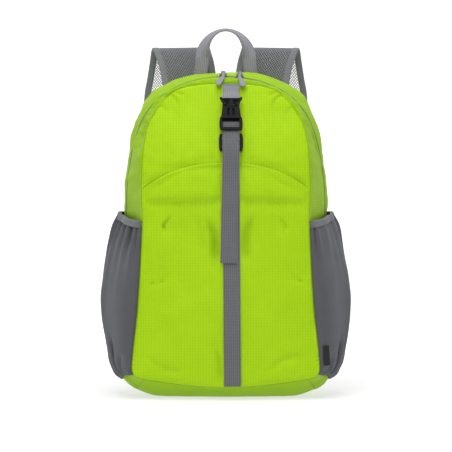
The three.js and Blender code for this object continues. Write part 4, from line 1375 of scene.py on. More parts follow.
@dataclass
class SidePocket:
    """Stretch pocket on one side, gathered under an elastic binding.

    Rows of gathering are a level, a width and a depth. Rows of long_folds are a height, a place
    round at a level, its lean, a width, a start, the length of both ends, and an end.
    """

    shape: BagShape
    name: str
    side: int
    wall: float = 1.0
    thickness: float = 1.6
    binding_width: float = 10.0
    binding_thickness: float = 2.2
    reach: float = 38.0
    mouth_front: float = 7.97
    mouth_back: float = 7.73
    mouth_rise: float = 1.8
    foot: float = 12.0
    puckers: int = 6
    pucker_depth: float = 1.2
    lead: float = 0.78
    slack: float = 1.2
    toe: float = 1.6
    gathering: tuple[tuple[float, ...], ...] = ((0.08, 0.09, 6.0), (0.16, 0.20, 2.4))
    long_folds: tuple[tuple[float, ...], ...] = (
        (2.2, 0.34, 0.00, 0.0, 0.050, 0.10, 0.20, 0.80),
        (-6.0, 0.25, 0.80, 0.3, 0.036, 0.60, 0.20, 9.00),
        (-3.0, 0.13, 0.85, 0.4, 0.030, 0.72, 0.12, 9.00),
    )
    fullness: tuple[tuple[float, float], ...] = (
        (7.6, 0.10), (7.8, 0.16), (8.05, 0.34), (8.3, 0.50), (8.7, 0.71), (9.15, 0.88), (9.8, 1.00),
        (10.25, 0.93), (10.6, 0.81), (11.0, 0.66), (11.35, 0.54), (11.7, 0.33), (11.9, 0.12), (12.0, 0.03),
    )

    @property
    def run(self) -> float:
        """Length from mouth to foot."""
        return self.shape.height * float(
            self.shape.column("ridgeZ", 8) - self.shape.column("ridgeZ", self.foot)
        )

    def full(self, station: Array) -> Array:
        """Fullness at stations, softened between the rows of its table."""
        stations, shares = zip(*self.fullness)
        offsets = np.linspace(-0.16, 0.16, 9)
        return np.mean([np.interp(station + d, stations, shares) for d in offsets], axis=0)

    def point(self, along: Any, round_share: Any, thickness: float) -> Array:
        """Outer face: along runs from mouth (0) to foot (1), round from front (0) to back (1)."""
        shape = self.shape
        mouth = mix(self.mouth_front, self.mouth_back, smooth(self.mouth_rise * round_share))
        station = mix(mouth, self.foot, along)
        across = mix(shape.beside(station, 0, shape.gap), shape.beside(station, 3, -shape.gap), round_share)
        point = shape.body(self.side * station, across)
        pucker = self.pucker_depth * np.cos(2 * np.pi * self.puckers * round_share) * (1 - smooth(along * 4))
        arch = np.sin(np.pi * np.clip(round_share, 0, 1) ** self.lead) ** 0.75
        bulge = arch * (self.reach * self.full(station) + pucker)
        return point + shape.outward(point) * (thickness + shape.gap + bulge)[..., None]

    def folds(self, along: Array, round_share: Array) -> Array:
        """Outward height of the gathers under the mouth, the long folds and the slack cloth."""
        phase = 2 * np.pi * self.puckers * 2.2 * round_share + 1.4 * np.sin(9 * round_share)
        uneven = 0.7 + 0.5 * ripple(round_share * 9, 0 * along, 71 + self.side, 1)
        gather = (0.5 - np.abs(np.sin(phase / 2)) ** 0.7) * uneven
        gather *= sum(deep * bell(along - level, width) for level, width, deep in self.gathering)
        total = gather + self.slack * ripple(round_share * 5, along * 4, 61 + self.side, 2)
        for height, place, level, lean, width, start, rise, end in self.long_folds:
            line = bell(round_share - place - lean * (along - level), width)
            total += height * line * smooth((along - start) / rise) * smooth((end - along) / rise)
        return total + self.toe * np.cos(10 * np.pi * round_share) * bell(along - 0.97, 0.06)

    def build(self) -> bpy.types.Object:
        """Builds the cloth, its binding and their sewing, and returns the cloth."""
        lip = (self.binding_width + self.shape.gap) / self.run
        along = mix(lip * 0.7, 1.0, dense_ends(110, 0.4))[:, None]
        round_share = dense_ends(96, 0.5)[None, :]
        along, round_share = np.broadcast_arrays(along, round_share)
        grid = self.point(along, round_share, self.thickness)
        out = self.shape.outward(grid)
        quiet = smooth(np.minimum(round_share, 1 - round_share) / 0.05) * smooth((1 - along) / 0.05)
        lift = self.folds(along, round_share) * quiet - 0.4 * bell(along - lip, 0.02)
        grid = grid + out * lift[..., None]
        grid = rolled(grid, -out, (0, 1.2, 1.2, 1.2), 3.0)
        name = f"pocket_{self.name}"
        # The fold depths, as -lift, darken the finish as painted shade in the gathers and folds.
        pocket = put(name + "_cloth", cloth(grid, -out, self.wall, fold_shade=-lift), Stuff.STRETCH, name)
        self.bind()
        return pocket

    def bind(self) -> None:
        """Builds the elastic binding over the mouth, with its two rows of sewing."""
        lip = self.binding_width / self.run
        along = np.linspace(0, lip, 12)[:, None]
        round_share = np.linspace(0, 1, 120)[None, :]
        along, round_share = np.broadcast_arrays(along, round_share)
        grid = self.point(along, round_share, self.binding_thickness)
        out = self.shape.outward(grid)
        squeeze = 0.35 * np.cos(2 * np.pi * 34 * round_share) * bell(along / lip - 0.5, 0.35)
        grid = rolled(grid + out * squeeze[..., None], -out, (1.0, 0.9, 0.8, 0.8), 2.2)
        name = f"pocket_binding_{self.name}"
        weave = np.stack([along * self.run, grid_weave(grid)[..., 0]], axis=-1)
        band = cloth(grid, -out, self.binding_thickness * 0.8, weave)
        skin = Skin(put(name + "_elastic", band, Stuff.ELASTIC, name))
        rows = []
        for share in (0.3, 0.78):
            path = self.point(np.full(80, lip * share), np.linspace(0.02, 0.98, 80), self.binding_thickness)
            rows.append(stitches(*skin.under(path, -self.shape.outward(path)), 2.8, 2.0, 0.5))
        for share in (0.03, 0.07):
            path = self.point(np.linspace(0.1, 0.95, 12) * lip, np.full(12, share), self.binding_thickness)
            rows.append(stitches(*skin.under(path, -self.shape.outward(path)), 1.6, 1.3, 0.55))
        put(f"pocket_stitches_{self.name}", joined(rows), Stuff.GREY_THREAD)


@dataclass
class CentreStrap:
    """Webbing down the front through the buckle's bar and the glide."""

    shape: BagShape
    x: float = 7.4
    width: float = 24.0
    thick: float = 1.5
    rest: float = 0.6
    tail_end: float = 195.0
    tail_drift: float = -3.2
    foot_drift: float = 2.2
    buckle_foot: float = 380.0
    buckle_length: float = 50.0
    buckle_thickness: float = 8.5
    male_length: float = 9.0
    tongue: float = 2.8
    bar: float = 1.6
    glide_height: float = 27.0
    glide_thickness: float = 2.5
    glide_drop: float = 3.0
    origin: Array = field(default_factory=lambda: np.zeros(3))
    up: Array = field(default_factory=lambda: np.array([0.0, 0.0, 1.0]))
    out: Array = field(default_factory=lambda: np.array([0.0, -1.0, 0.0]))

    def __post_init__(self) -> None:
        """Lays the straight bed under the buckle and the glide."""
        gap = self.shape.gap
        self.strap_layer = self.rest + self.thick / 2
        bar_layer = self.strap_layer + self.thick / 2 + gap + self.bar / 2
        self.tail_layer = bar_layer + self.bar / 2 + gap + self.thick / 2
        glide_layer = self.strap_layer + self.thick / 2 + gap + self.glide_thickness / 2
        self.over_glide = glide_layer + self.glide_thickness / 2 + gap + self.thick / 2
        self.bar_height = self.buckle_length * 0.23
        self.male_layer = self.rest + (self.buckle_thickness - self.tongue) / 2 - gap - self.thick / 2
        self.bed_foot = -self.glide_drop - self.glide_height - 4
        heights = self.buckle_foot + np.linspace(self.bed_foot, self.buckle_length, 9)
        places = at(self.x, self.bed(heights), heights)
        self.up = unit(places[-1] - places[0])
        self.out = np.array([0, -self.up[2], self.up[1]])
        proud = max(0.0, float(np.max((places - places[0]) @ self.out)))
        self.origin = places[0] - self.up * self.bed_foot / self.up[2] + self.out * proud

    def bed(self, z: Any) -> Array:
        """Depth of the foremost cloth near a height on the strap's course."""
        near = np.array([-1, -0.5, 0, 0.5, 1]) * self.width / 2
        z = np.asarray(z, float)
        return np.min([self.shape.front(self.x + dx, z + dz) for dx in near for dz in near], axis=0)

    def hard(self, height: float, layer: float) -> tuple[Array, Array]:
        """Centre and face of a row on the straight bed."""
        return self.origin + self.up * height + self.out * layer, self.out

    def soft(self, z: float, layer: float, drift: float = 0.0) -> tuple[Array, Array]:
        """Centre and face of a row on the cloth, which may drift aside."""
        return np.array([self.x + drift, float(self.bed(z)) - layer, z]), np.array([0.0, -1.0, 0.0])

    def course(self, rows: list[tuple[Array, Array]]) -> Run:
        """Strap's course from centres and faces."""
        centres, faces = (np.array(values) for values in zip(*rows))
        return Run.along(centres, [1.0, 0.0, 0.0], faces, self.width, self.thick)

    def lower(self) -> Run:
        """Course from the foot seam up round the buckle's bar and down as the tail."""
        foot = self.shape.ring("seam", self.shape.last)[2] + self.thick
        bend = self.buckle_foot + self.bed_foot - self.width
        rows = [
            self.soft(mix(foot, bend, share), self.strap_layer, self.foot_drift * (1 - share))
            for share in np.linspace(0, 1, 15)
        ]
        rows += [self.hard(self.bed_foot, self.strap_layer), self.hard(self.bar_height, self.strap_layer)]
        radius = (self.tail_layer - self.strap_layer) / 2
        for turn in np.pi * np.arange(1, 6) / 6:
            layer = self.strap_layer + radius * (1 - math.cos(turn))
            centre, _ = self.hard(self.bar_height + radius * math.sin(turn), layer)
            rows.append((centre, self.out * math.cos(turn) - self.up * math.sin(turn)))
        for height, layer in (
            (self.bar_height, self.tail_layer), (-0.5, self.tail_layer), (-self.glide_drop, self.over_glide),
            (-self.glide_drop - self.glide_height, self.over_glide),
        ):
            centre, face = self.hard(height, layer)
            rows.append((centre, -face))
        flat = self.strap_layer + self.thick + 2 * self.rest
        for share in (0.14, 0.3, 0.5, 0.75, 1.0):
            z = mix(self.buckle_foot + self.bed_foot, self.tail_end, share)
            layer = mix(self.over_glide, flat, smooth(1.4 * share))
            centre, face = self.soft(z, layer, self.tail_drift * share)
            rows.append((centre, -face))
        return self.course(rows)

    def upper(self) -> Run:
        """Course from the crown seam to the buckle's upper half."""
        head = self.shape.ring("seam", 0)[2] - self.thick
        low = self.hard(self.buckle_length, 0)[0][2]
        rows = [
            self.soft(mix(head, low, share), mix(self.strap_layer, self.male_layer, smooth(share)))
            for share in (0, 0.2, 0.4, 0.6)
        ]
        rows += [
            self.hard(self.buckle_length, self.male_layer),
            self.hard(self.buckle_length - self.male_length / 2, self.male_layer),
        ]
        return self.course(rows)

    def build(self) -> None:
        """Builds both webbings and their bar tacks."""
        profile = strap_profile(0.9, 5, 0.12)
        tail = self.lower().finer(6)
        put("front_strap_webbing", ribbon(tail, profile), Stuff.WEBBING, "front_strap")
        head = self.upper().finer(6)
        # The upper webbing wears the lighter copy: painted light from above.
        put("front_strap_upper_webbing", ribbon(head, profile), Stuff.UPPER_WEB, "front_strap_upper")
        rows = []
        across = np.linspace(-self.width / 2 + 2, self.width / 2 - 2, 20)
        for run, index in ((tail, 2), (tail, 5), (head, 2), (head, 4)):
            path = run.centre[index] + run.across[index] * across[:, None]
            path = path + run.face[index] * (run.thick[index] / 2 + 0.1)
            rows.append(stitches(path, run.face[index], 1.7, 1.5, 0.5))
        for lift in (2.0, 4.2):
            index = len(tail.centre) - 1 - int(lift)
            path = tail.centre[index] + tail.across[index] * across[:, None]
            path = path - tail.face[index] * (tail.thick[index] / 2 + 0.1)
            rows.append(stitches(path, -tail.face[index], 2.2, 1.7, 0.5))
        put("strap_bar_tacks", joined(rows), Stuff.GREY_THREAD)


@dataclass
class Hardware:
    """Side release buckle and glide, moulded on the centre strap's straight bed.

    Outlines give the distance from the middle and the height above the buckle's foot. Those of
    shell, floor, wings, yoke and prong are right halves. Layers are heights above the bag's cloth.
    """

    strap: CentreStrap
    glide_half: float = 17.0
    chamfer: float = 3.0
    slot_half: float = 12.3
    slot_rise: float = 3.5
    shell_layer: float = 6.2
    rail_layer: float = 6.6
    floor_layer: float = 4.6
    slot_floor: float = 1.2
    proud: float = 0.5
    edge: float = 0.35
    step: float = 1.2
    sharp: float = 32.0
    shell: Loop = (
        (11.8, 0.3), (14.4, 0.8), (16.2, 3.2), (16.5, 9.0), (16.3, 15.0), (15.8, 17.8), (14.4, 19.4),
        (13.8, 21.5), (13.1, 26.0), (12.3, 32.0), (11.9, 36.5), (12.2, 40.4), (9.8, 40.4), (8.8, 36.4),
        (7.6, 35.2), (6.2, 35.0),
    )
    slot: Loop = ((1.7, 33.4), (4.4, 33.0), (5.3, 28.0), (5.3, 23.5), (4.0, 21.2), (2.3, 23.2), (2.0, 28.0))
    rail: Loop = ((12.4, 0.8), (16.1, 3.4), (16.1, 17.6), (12.4, 19.2))
    floor: Loop = (
        (15.4, 18.4), (13.6, 20.6), (12.6, 28.0), (8.4, 29.0), (8.4, 37.6), (11.6, 38.6), (11.8, 40.2),
    )
    wings: Loop = (
        (10.8, 47.0), (12.6, 48.6), (14.6, 49.6), (16.2, 48.6), (15.9, 46.2), (14.0, 43.6), (12.7, 41.2),
        (9.8, 41.2), (7.4, 38.2), (6.0, 36.0), (4.2, 35.6),
    )
    hook: Loop = ((3.0, 45.0), (10.8, 45.0), (9.9, 42.7), (7.2, 42.2), (6.3, 39.2), (3.0, 39.2))
    yoke: Loop = ((10.8, 47.0), (14.4, 48.2), (15.2, 46.4), (12.8, 42.6), (12.2, 41.3))
    prong: Loop = ((4.2, 41.6), (4.2, 36.0), (3.4, 24.0))

    def stand(self, name: str, surfaces: Sequence[Surface], node: str) -> None:
        """Stands plates on the bed as one piece that replaces a node."""
        strap, made = self.strap, joined(surfaces)
        wide, high, deep = (made.points[:, k : k + 1] for k in range(3))
        points = strap.origin + wide * np.array([1.0, 0.0, 0.0]) + high * strap.up + deep * strap.out
        put(name, Surface(points, made.faces, made.weave), Stuff.PLASTIC, node, self.sharp)

    def female(self) -> None:
        """Builds the lower half: a framed window over its bar, rails and a slotted shell."""
        strap, low = self.strap, self.strap.rest
        front = low + strap.buckle_thickness
        half = strap.bar / 2
        bar = strap.strap_layer + strap.thick / 2 + strap.shape.gap + half
        window = box(-12.0, 4.9, 12.0, 18.0, 1.0)
        holes = [window, rounded(self.slot), rounded(flipped(self.slot))]
        sides = [[(-x, y) for x, y in self.rail], self.rail]
        self.stand("buckle_lower_half", [
            plate(rounded(both(self.shell)), holes, self.shell_layer, front),
            *(plate(rounded(side, 1), [], low, self.rail_layer) for side in sides),
            plate(rounded(both(self.floor), 1), [], low, self.floor_layer),
            plate(rounded(box(-15.2, 18.0, 15.2, 20.2), 1), [], low, front + self.proud),
            plate(box(-12.2, 13.9, 12.2, 19.0), [], low, low + self.slot_floor),
            plate(box(-13.2, 1.4, 13.2, 2.6), [], front - 0.6, front + self.edge, 0.3),
            plate(box(-14.0, 9.2, 14.0, 11.4), [], bar - half, bar + half),
        ], "buckle_female")

    def male(self) -> None:
        """Builds the upper half: winged shoulders with two hooked slots over a middle prong."""
        strap, step = self.strap, self.step
        middle = strap.rest + strap.buckle_thickness / 2
        front = middle + strap.buckle_thickness * 0.35 + self.proud
        holes = [rounded(loop, 1) for loop in (self.hook, flipped(self.hook))]
        self.stand("buckle_upper_half", [
            plate(rounded(both(self.wings)), holes, middle + 0.6, front),
            plate(rounded(both(self.yoke), 1), [], middle - step, middle + 0.9, 0.4),
            plate(both(self.prong), [], middle - step, middle + step, 0.4),
            plate(box(-11.4, 46.2, 11.4, 47.6), [], middle, front + 0.6, 0.4),
            plate(box(-8.6, 37.6, 8.6, 46.0), [], middle - step - 1.0, middle - step),
        ], "buckle_male")

    def glide(self) -> None:
        """Builds the two slot glide under the tail."""
        strap, rise = self.strap, self.slot_rise
        foot = -strap.glide_drop - strap.glide_height
        half, cut, head = self.glide_half, self.chamfer, foot + strap.glide_height
        outline = both([(half - cut, foot), (half, foot + cut), (half, head - cut), (half - cut, head)])
        middle = foot + strap.glide_height / 2
        spans = ((foot + rise, middle - rise / 2), (middle + rise / 2, head - rise))
        holes = [rounded(box(-self.slot_half, start, self.slot_half, end), 1) for start, end in spans]
        low = strap.strap_layer + strap.thick / 2 + strap.shape.gap
        made = plate(rounded(outline, 1), holes, low, low + strap.glide_thickness)
        self.stand("strap_glide_frame", [made], "strap_glide")

    def build(self) -> None:
        """Builds both halves and the glide."""
        self.female()
        self.male()
        self.glide()


@dataclass
class CarryHandle:
    """Webbing loop on the crown whose legs face forwards and turn edge on over the arch."""

    shape: BagShape
    width: float = 20.0
    thick: float = 2.4
    spread: float = 35.0
    flare: float = 3.0
    ease: float = 1.5
    leg: float = 28.6
    arch: float = 42.0
    turn: float = 78.0
    seat_across: float = 2.55
    arch_steps: int = 22

    def course(self) -> Run:
        """Course from the left foot over the arch to the right foot."""
        station = self.spread / (self.shape.half_width * float(self.shape.column("ridgeX", 1)))
        seat = self.shape.body(station, self.seat_across)
        foot, bend = seat[2] + self.thick / 2 + self.shape.gap, seat[2] + self.leg
        legs = np.linspace(0, 1, 4)[:-1]
        shares = np.linspace(0, 1, self.arch_steps + 1)
        angle = np.pi * (1 - shares)
        turn = math.radians(self.turn) * np.sin(np.pi * shares) ** 0.9
        radial = at(np.cos(angle), 0, np.sin(angle))
        along = at(radial[:, 2], 0, -radial[:, 0])
        across = radial * np.cos(turn)[:, None] + at(0, np.sin(turn), 0)
        face = np.cross(across, along)
        centre = at(self.spread * radial[:, 0], seat[1], bend + self.arch * radial[:, 2])
        flared = self.spread + self.flare * (1 - legs) ** self.ease
        leg_up = at(-flared, seat[1], mix(foot, bend, legs))
        leg_down = at(flared[::-1], seat[1], mix(foot, bend, legs[::-1]))
        centres = np.vstack([leg_up, centre, leg_down])
        ones = np.tile([1.0, 0.0, 0.0], (3, 1))
        faces = np.tile([0.0, -1.0, 0.0], (3, 1))
        across = np.vstack([ones, across, ones])
        face = np.vstack([faces, face, faces])
        for values in (across, face):
            for i in range(1, len(values)):
                if values[i] @ values[i - 1] < 0:
                    values[i] *= -1
        return Run.along(centres, across, face, self.width, self.thick)

    def build(self) -> None:
        """Builds the webbing, its sewn edges and the tacks at its feet."""
        run = self.course().finer(5)
        profile = strap_profile(0.95, 4, 0.15)
        put("carry_handle_webbing", ribbon(run, profile), Stuff.HANDLE_WEB, "carry_handle")
        rows = []
        for side in (-1, 1):
            for face in (-1, 1):
                lift = run.face * (face * (run.thick[:, None] / 2 + 0.12))
                path = run.centre + run.across * (side * (self.width / 2 - 2.4)) + lift
                rows.append(stitches(path, run.face * face, 3.0, 2.3, 0.5))
        for end in (0, -1):
            first = run.centre[end]
            for rise in (4.0, 9.0):
                across = np.linspace(-1, 1, 12)[:, None] * (self.width / 2 - 3)
                path = first + [0, 0, rise] + run.across[end] * across
                path = path + run.face[end] * (self.thick / 2 + 0.15)
                rows.append(stitches(path, run.face[end], 1.8, 1.5, 0.55))
        put("handle_stitches", joined(rows), Stuff.GREY_THREAD)


@dataclass
class ShoulderStrap:
    """Open mesh strap between two bound edges, with its lock, web and anchor patch."""

    shape: BagShape
    name: str
    side: int
    pad: float = 4.0
    binding: float = 10.0
    steps: int = 90
    hole_half_width: float = 1.9
    hole_half_length: float = 2.3
    hole_share: float = 0.72
    # Share of the strap, from its top, that has the dark sheet of painted shade under its mesh.
    shade_sheet_share: float = 0.36
    seat: tuple[float, float] = (0.28, 2.5)
    seat_drop: float = 5.0
    rest: float = 0.6
    web_width: float = 24.0
    web_thick: float = 1.5
    lock_height: float = 26.0
    anchor_length: float = 34.0
    sections: tuple[tuple[float, ...], ...] = (
        (0.113, 0.660, 0.450, 0.460, 1.037, 1.021),
        (0.147, 0.712, 0.500, 0.513, 1.079, 1.072),
        (0.160, 0.735, 0.545, 0.555, 1.092, 1.089),
        (0.168, 0.750, 0.590, 0.597, 1.089, 1.086),
        (0.187, 0.768, 0.655, 0.660, 1.058, 1.054),
        (0.213, 0.798, 0.715, 0.717, 1.001, 0.999),
        (0.253, 0.830, 0.755, 0.757, 0.938, 0.938),
        (0.320, 0.843, 0.790, 0.790, 0.805, 0.805),
        (0.400, 0.850, 0.785, 0.785, 0.657, 0.657),
        (0.487, 0.850, 0.720, 0.720, 0.508, 0.508),
        (0.560, 0.850, 0.640, 0.640, 0.392, 0.392),
    )

    def edges(self, along: Array) -> tuple[Array, Array]:
        """Inner and outer edge at shares along the strap."""
        shape = self.shape
        seats = shape.ring("back", np.array(self.seat))
        first = [
            *(seats[:, 0] / shape.half_width),
            *((seats[:, 1] + self.rest + self.pad / 2) / shape.depth),
            *((seats[:, 2] - self.seat_drop) / shape.height),
        ]
        table = np.array([first, *self.sections])
        padded = np.vstack([table[:1], table, table[-1:]])
        place = np.clip(along, 0, 1) * (len(table) - 1)
        index = np.minimum(place.astype(int), len(table) - 2)
        share = (place - index)[:, None]
        rows = cubic(padded[index], padded[index + 1], padded[index + 2], padded[index + 3], share)
        scale = np.array([self.side * shape.half_width, shape.depth, shape.height])
        return rows[:, [0, 2, 4]] * scale, rows[:, [1, 3, 5]] * scale

    def course(self, inner: float | None, outer: float | None, thick: float) -> Run:
        """Course of a band between two distances from the strap's inner or outer edge.

        Args:
            inner: Distance of the band's start from the inner edge, or below 0 from the outer edge.
            outer: Distance of its end, in the same way.
            thick: Its thickness.

        Returns:
            The course.
        """
        along = np.linspace(0, 1, self.steps + 1) ** 1.15
        near, far = self.edges(along)
        width = np.linalg.norm(far - near, axis=1)
        place = lambda distance: (distance if distance >= 0 else width + distance) / width
        start = near + (far - near) * np.reshape(place(inner) * np.ones(len(width)), (-1, 1))
        end = near + (far - near) * np.reshape(place(outer) * np.ones(len(width)), (-1, 1))
        middle = (near + far) / 2
        down = np.gradient(middle, axis=0)
        face = unit(np.cross((far - near) * self.side, down))
        size = np.linalg.norm(end - start, axis=1)
        return Run.along((start + end) / 2, unit(end - start), face, size, thick)

    def lattice(self) -> Surface:
        """Diamond mesh with a thickness, between and just under the bindings."""
        run = self.course(self.binding, -self.binding, self.pad - 1.2)
        lengths = run.length()
        hx, hy = self.hole_half_width, self.hole_half_length
        columns = int(run.width.max() / 2 / hx) + 3
        rows = int(lengths[-1] / hy)
        i, j = np.meshgrid(np.arange(-columns, columns + 1), np.arange(1, rows))
        keep = (i + j) % 2 == 0
        centres = np.stack([i[keep] * hx, j[keep] * hy], axis=-1)
        half = np.interp(centres[:, 1], lengths, run.width) / 2
        centres = centres[np.abs(centres[:, 0]) < half + 3.0]
        turn = np.arange(8) * np.pi / 4
        outer = np.array([
            [1, 0], [0.5, 0.5], [0, 1], [-0.5, 0.5], [-1, 0], [-0.5, -0.5], [0, -1], [0.5, -0.5],
        ]) * [hx, hy]
        hole = np.stack([np.cos(turn), np.sin(turn)], axis=-1) * [hx, hy]
        hole *= (self.hole_share * np.where(np.arange(8) % 2 == 0, 1.0, 0.80))[:, None]
        flat = np.concatenate([centres[:, None] + outer, centres[:, None] + hole], axis=1).reshape(-1, 2)
        unique, back = np.unique(np.round(flat, 3), axis=0, return_inverse=True)
        ids = back.reshape(-1, 16)
        nxt = np.roll(np.arange(8), -1)
        top = np.stack([ids[:, :8], ids[:, nxt], ids[:, 8 + nxt], ids[:, 8:]], axis=-1).reshape(-1, 4)
        shift = len(unique)
        wall = np.stack([ids[:, 8:], ids[:, 8 + nxt], ids[:, 8 + nxt] + shift, ids[:, 8:] + shift], axis=-1)
        faces = np.vstack([top, top[:, ::-1] + shift, wall.reshape(-1, 4)])
        sample = lambda values: np.stack(
            [np.interp(unique[:, 1], lengths, values[:, k]) for k in range(3)], axis=-1
        )
        middle, across, face = sample(run.centre), unit(sample(run.across)), unit(sample(run.face))
        base = middle + across * unique[:, :1]
        lift = np.interp(unique[:, 1], lengths, run.thick)[:, None] / 2
        points = np.vstack([base + face * lift, base - face * lift])
        first = points[faces[0]]
        if np.cross(first[1] - first[0], first[2] - first[0]) @ face[faces[0][0]] < 0:
            faces = faces[:, ::-1]
        return Surface(points, faces.tolist(), np.vstack([unique, unique]))

    def build(self) -> None:
        """Builds the mesh, its bindings and sewing, and the pieces below."""
        node = f"strap_mesh_{self.name}"
        put(node + "_lattice", self.lattice(), Stuff.SPACER, node, 30.0)
        # Dark sheet of painted shade under the top of the mesh, so that its holes look shaded.
        shade_sheet = self.course(self.binding * 0.6, -self.binding * 0.6, 0.5)
        kept = slice(0, int(self.shade_sheet_share * self.steps))
        shade_sheet = Run(*(values[kept] for values in (
            shade_sheet.centre - shade_sheet.face * (self.pad / 2 - 1.0), shade_sheet.across, shade_sheet.face, shade_sheet.width,
            shade_sheet.thick,
        )))
        put(f"strap_shade_sheet_{self.name}", ribbon(shade_sheet), Stuff.LINING)
        rows = []
        for edge, start, end in (("inner", 0.0, self.binding), ("outer", -self.binding, -1e-6)):
            run = self.course(start, end, self.pad)
            node = f"strap_edge_{edge}_{self.name}"
            put(node + "_binding", ribbon(run, strap_profile(0.8)), Stuff.BINDING, node)
            toward = 1 if edge == "inner" else -1
            for face in (-1, 1):
                lift = run.face * (face * (self.pad / 2 + 0.1))
                path = run.centre + run.across * (toward * (self.binding / 2 - 1.8)) + lift
                rows.append(stitches(path, run.face * face, 3.2, 2.4, 0.5))
        put(f"strap_stitches_{self.name}", joined(rows), Stuff.GREY_THREAD)
        self.lower()

    def lower(self) -> None:
        """Builds the adjusting web and the anchor patch below the lock."""
        shape = self.shape
        near, far = self.edges(np.array([0.97, 1.0]))
        middle = (near + far) / 2
        across = unit(far[1] - near[1])
        down = middle[1] - middle[0]
        down = unit(down - across * (down @ across))
        start = middle[1] + down * (self.lock_height + self.rest + shape.gap)
        foot = np.array([
            self.side * (shape.half_width * float(shape.column("backX", shape.corner)) - self.web_width),
            shape.depth * float(shape.column("backY", shape.corner - 1)) + shape.back_swell + self.web_thick,
            shape.height * float(shape.column("backZ", shape.corner)) + self.web_width,
        ])
        top = mix(foot, start, self.anchor_length / np.linalg.norm(foot - start))
        share = np.linspace(0, 1, 18)
        centre = mix(start, top, share[:, None]) + at(0, 5 * np.sin(np.pi * share), 0)
        back = np.array([0.0, 1.0, 0.0])
        web = Run.along(centre, across, back, self.web_width, self.web_thick)
        node = f"strap_webbing_{self.name}"
        put(node + "_web", ribbon(web, strap_profile(0.9, 5, 0.12)), Stuff.WEBBING, node)
        share = np.linspace(shape.gap / self.anchor_length, 1, 14)
        widths = self.web_width + mix(4, 20, share)
        patch = Run.along(mix(top, foot, share[:, None]), across, back, widths, 1.6)
        node = f"strap_anchor_{self.name}"
        put(node + "_patch", ribbon(patch, strap_profile(0.8)), Stuff.RIPSTOP, node)
        rows = []
        for side in (-1, 1):
            rows.append(stitches(patch.point(side * (patch.width / 2 - 2.5), 0.1), back, 3.0, 2.2, 0.5))
        for index in (1, 12):
            reach = np.linspace(-1, 1, 14)[:, None] * (patch.width[index] / 2 - 2.5)
            path = patch.centre[index] + patch.across[index] * reach + [0, 0.9, 0]
            rows.append(stitches(path, back, 3.0, 2.2, 0.5))
        put(f"anchor_stitches_{self.name}", joined(rows), Stuff.LIME_THREAD)


@dataclass
class MainZip:
    """Zip over the crown: two tapes and a nylon coil."""

    shape: BagShape
    half: float = 2.7
    pitch: float = 1.7
    sink: float = 0.7

    def build(self) -> None:
        """Builds the tape and the coil."""
        shape = self.shape
        stations = np.linspace(-shape.zip_foot, shape.zip_foot, 420)
        offsets = np.linspace(-1, 1, 9) * self.half
        across = shape.beside(stations[:, None], 1, offsets[None, :] + 1e-6)
        grid = shape.body(stations[:, None], across)
        out = shape.outward(grid)
        tape = grid - out * self.sink
        put("main_zipper_tape", cloth(tape, -out, 0.6), Stuff.TAPE, "main_zipper")
        path = shape.body(stations, 1.0)
        out = shape.outward(path)
        rows = []
        for offset in (-0.75, 0.75):
            line = shape.body(stations, shape.beside(stations, 1, offset)) + out * (0.15 - self.sink)
            along = unit(np.gradient(line, axis=0))
            rows.append(stitches(line + along * (offset * 0.4), out, self.pitch, self.pitch * 0.72, 1.35))
        put("main_zipper_coil", joined(rows), Stuff.COIL)


@dataclass
class SideTab:
    """Bare woven tab caught in the front seam of the right pocket."""

    pocket: SidePocket
    width: float = 11.0
    height: float = 28.0
    thick: float = 1.2
    place: float = 0.765
    inset: float = 0.08
    rows: int = 11
    columns: int = 12

    def build(self, cloth_piece: bpy.types.Object) -> None:
        """Lays the folded tab on the pocket's cloth."""
        lip = (self.pocket.binding_width + self.pocket.shape.gap) / self.pocket.run
        level = math.floor(self.place * self.rows)
        levels = mix(lip, 1, np.array([level, level + 1]) / self.rows)
        corner = lambda k, column: self.pocket.point(
            levels[k : k + 1], np.array([column / self.columns]), self.pocket.thickness
        )[0]
        top, foot = mix(corner(0, 0), corner(0, 1), self.inset), mix(corner(1, 0), corner(1, 1), self.inset)
        down = unit(foot - top)
        over = (corner(0, 1) + corner(1, 1)) / 2 - (top + foot) / 2
        face = unit(np.cross(down, over))
        across = np.cross(face, down)
        count = 24
        share = np.linspace(-0.5, 0.5, count)[:, None]
        centre = (top + foot) / 2 + across * (self.width / 2) + down * share * self.height
        placed, _ = Skin(cloth_piece).under(centre, np.tile(-face, (count, 1)))
        lift = np.maximum((placed - centre) @ face, -2.0)
        centre = centre + face * (float(np.max(lift)) + 0.35 + self.thick / 2)
        run = Run.along(centre, across, face, self.width, self.thick)
        put("side_tab_woven", ribbon(run, strap_profile(0.7)), Stuff.TAB, "side_tab")
        path = run.point(-self.width / 2 + 1.2, 0.05)
        put("side_tab_stitches", stitches(path, run.face, 2.4, 1.8, 0.4), Stuff.CORD)


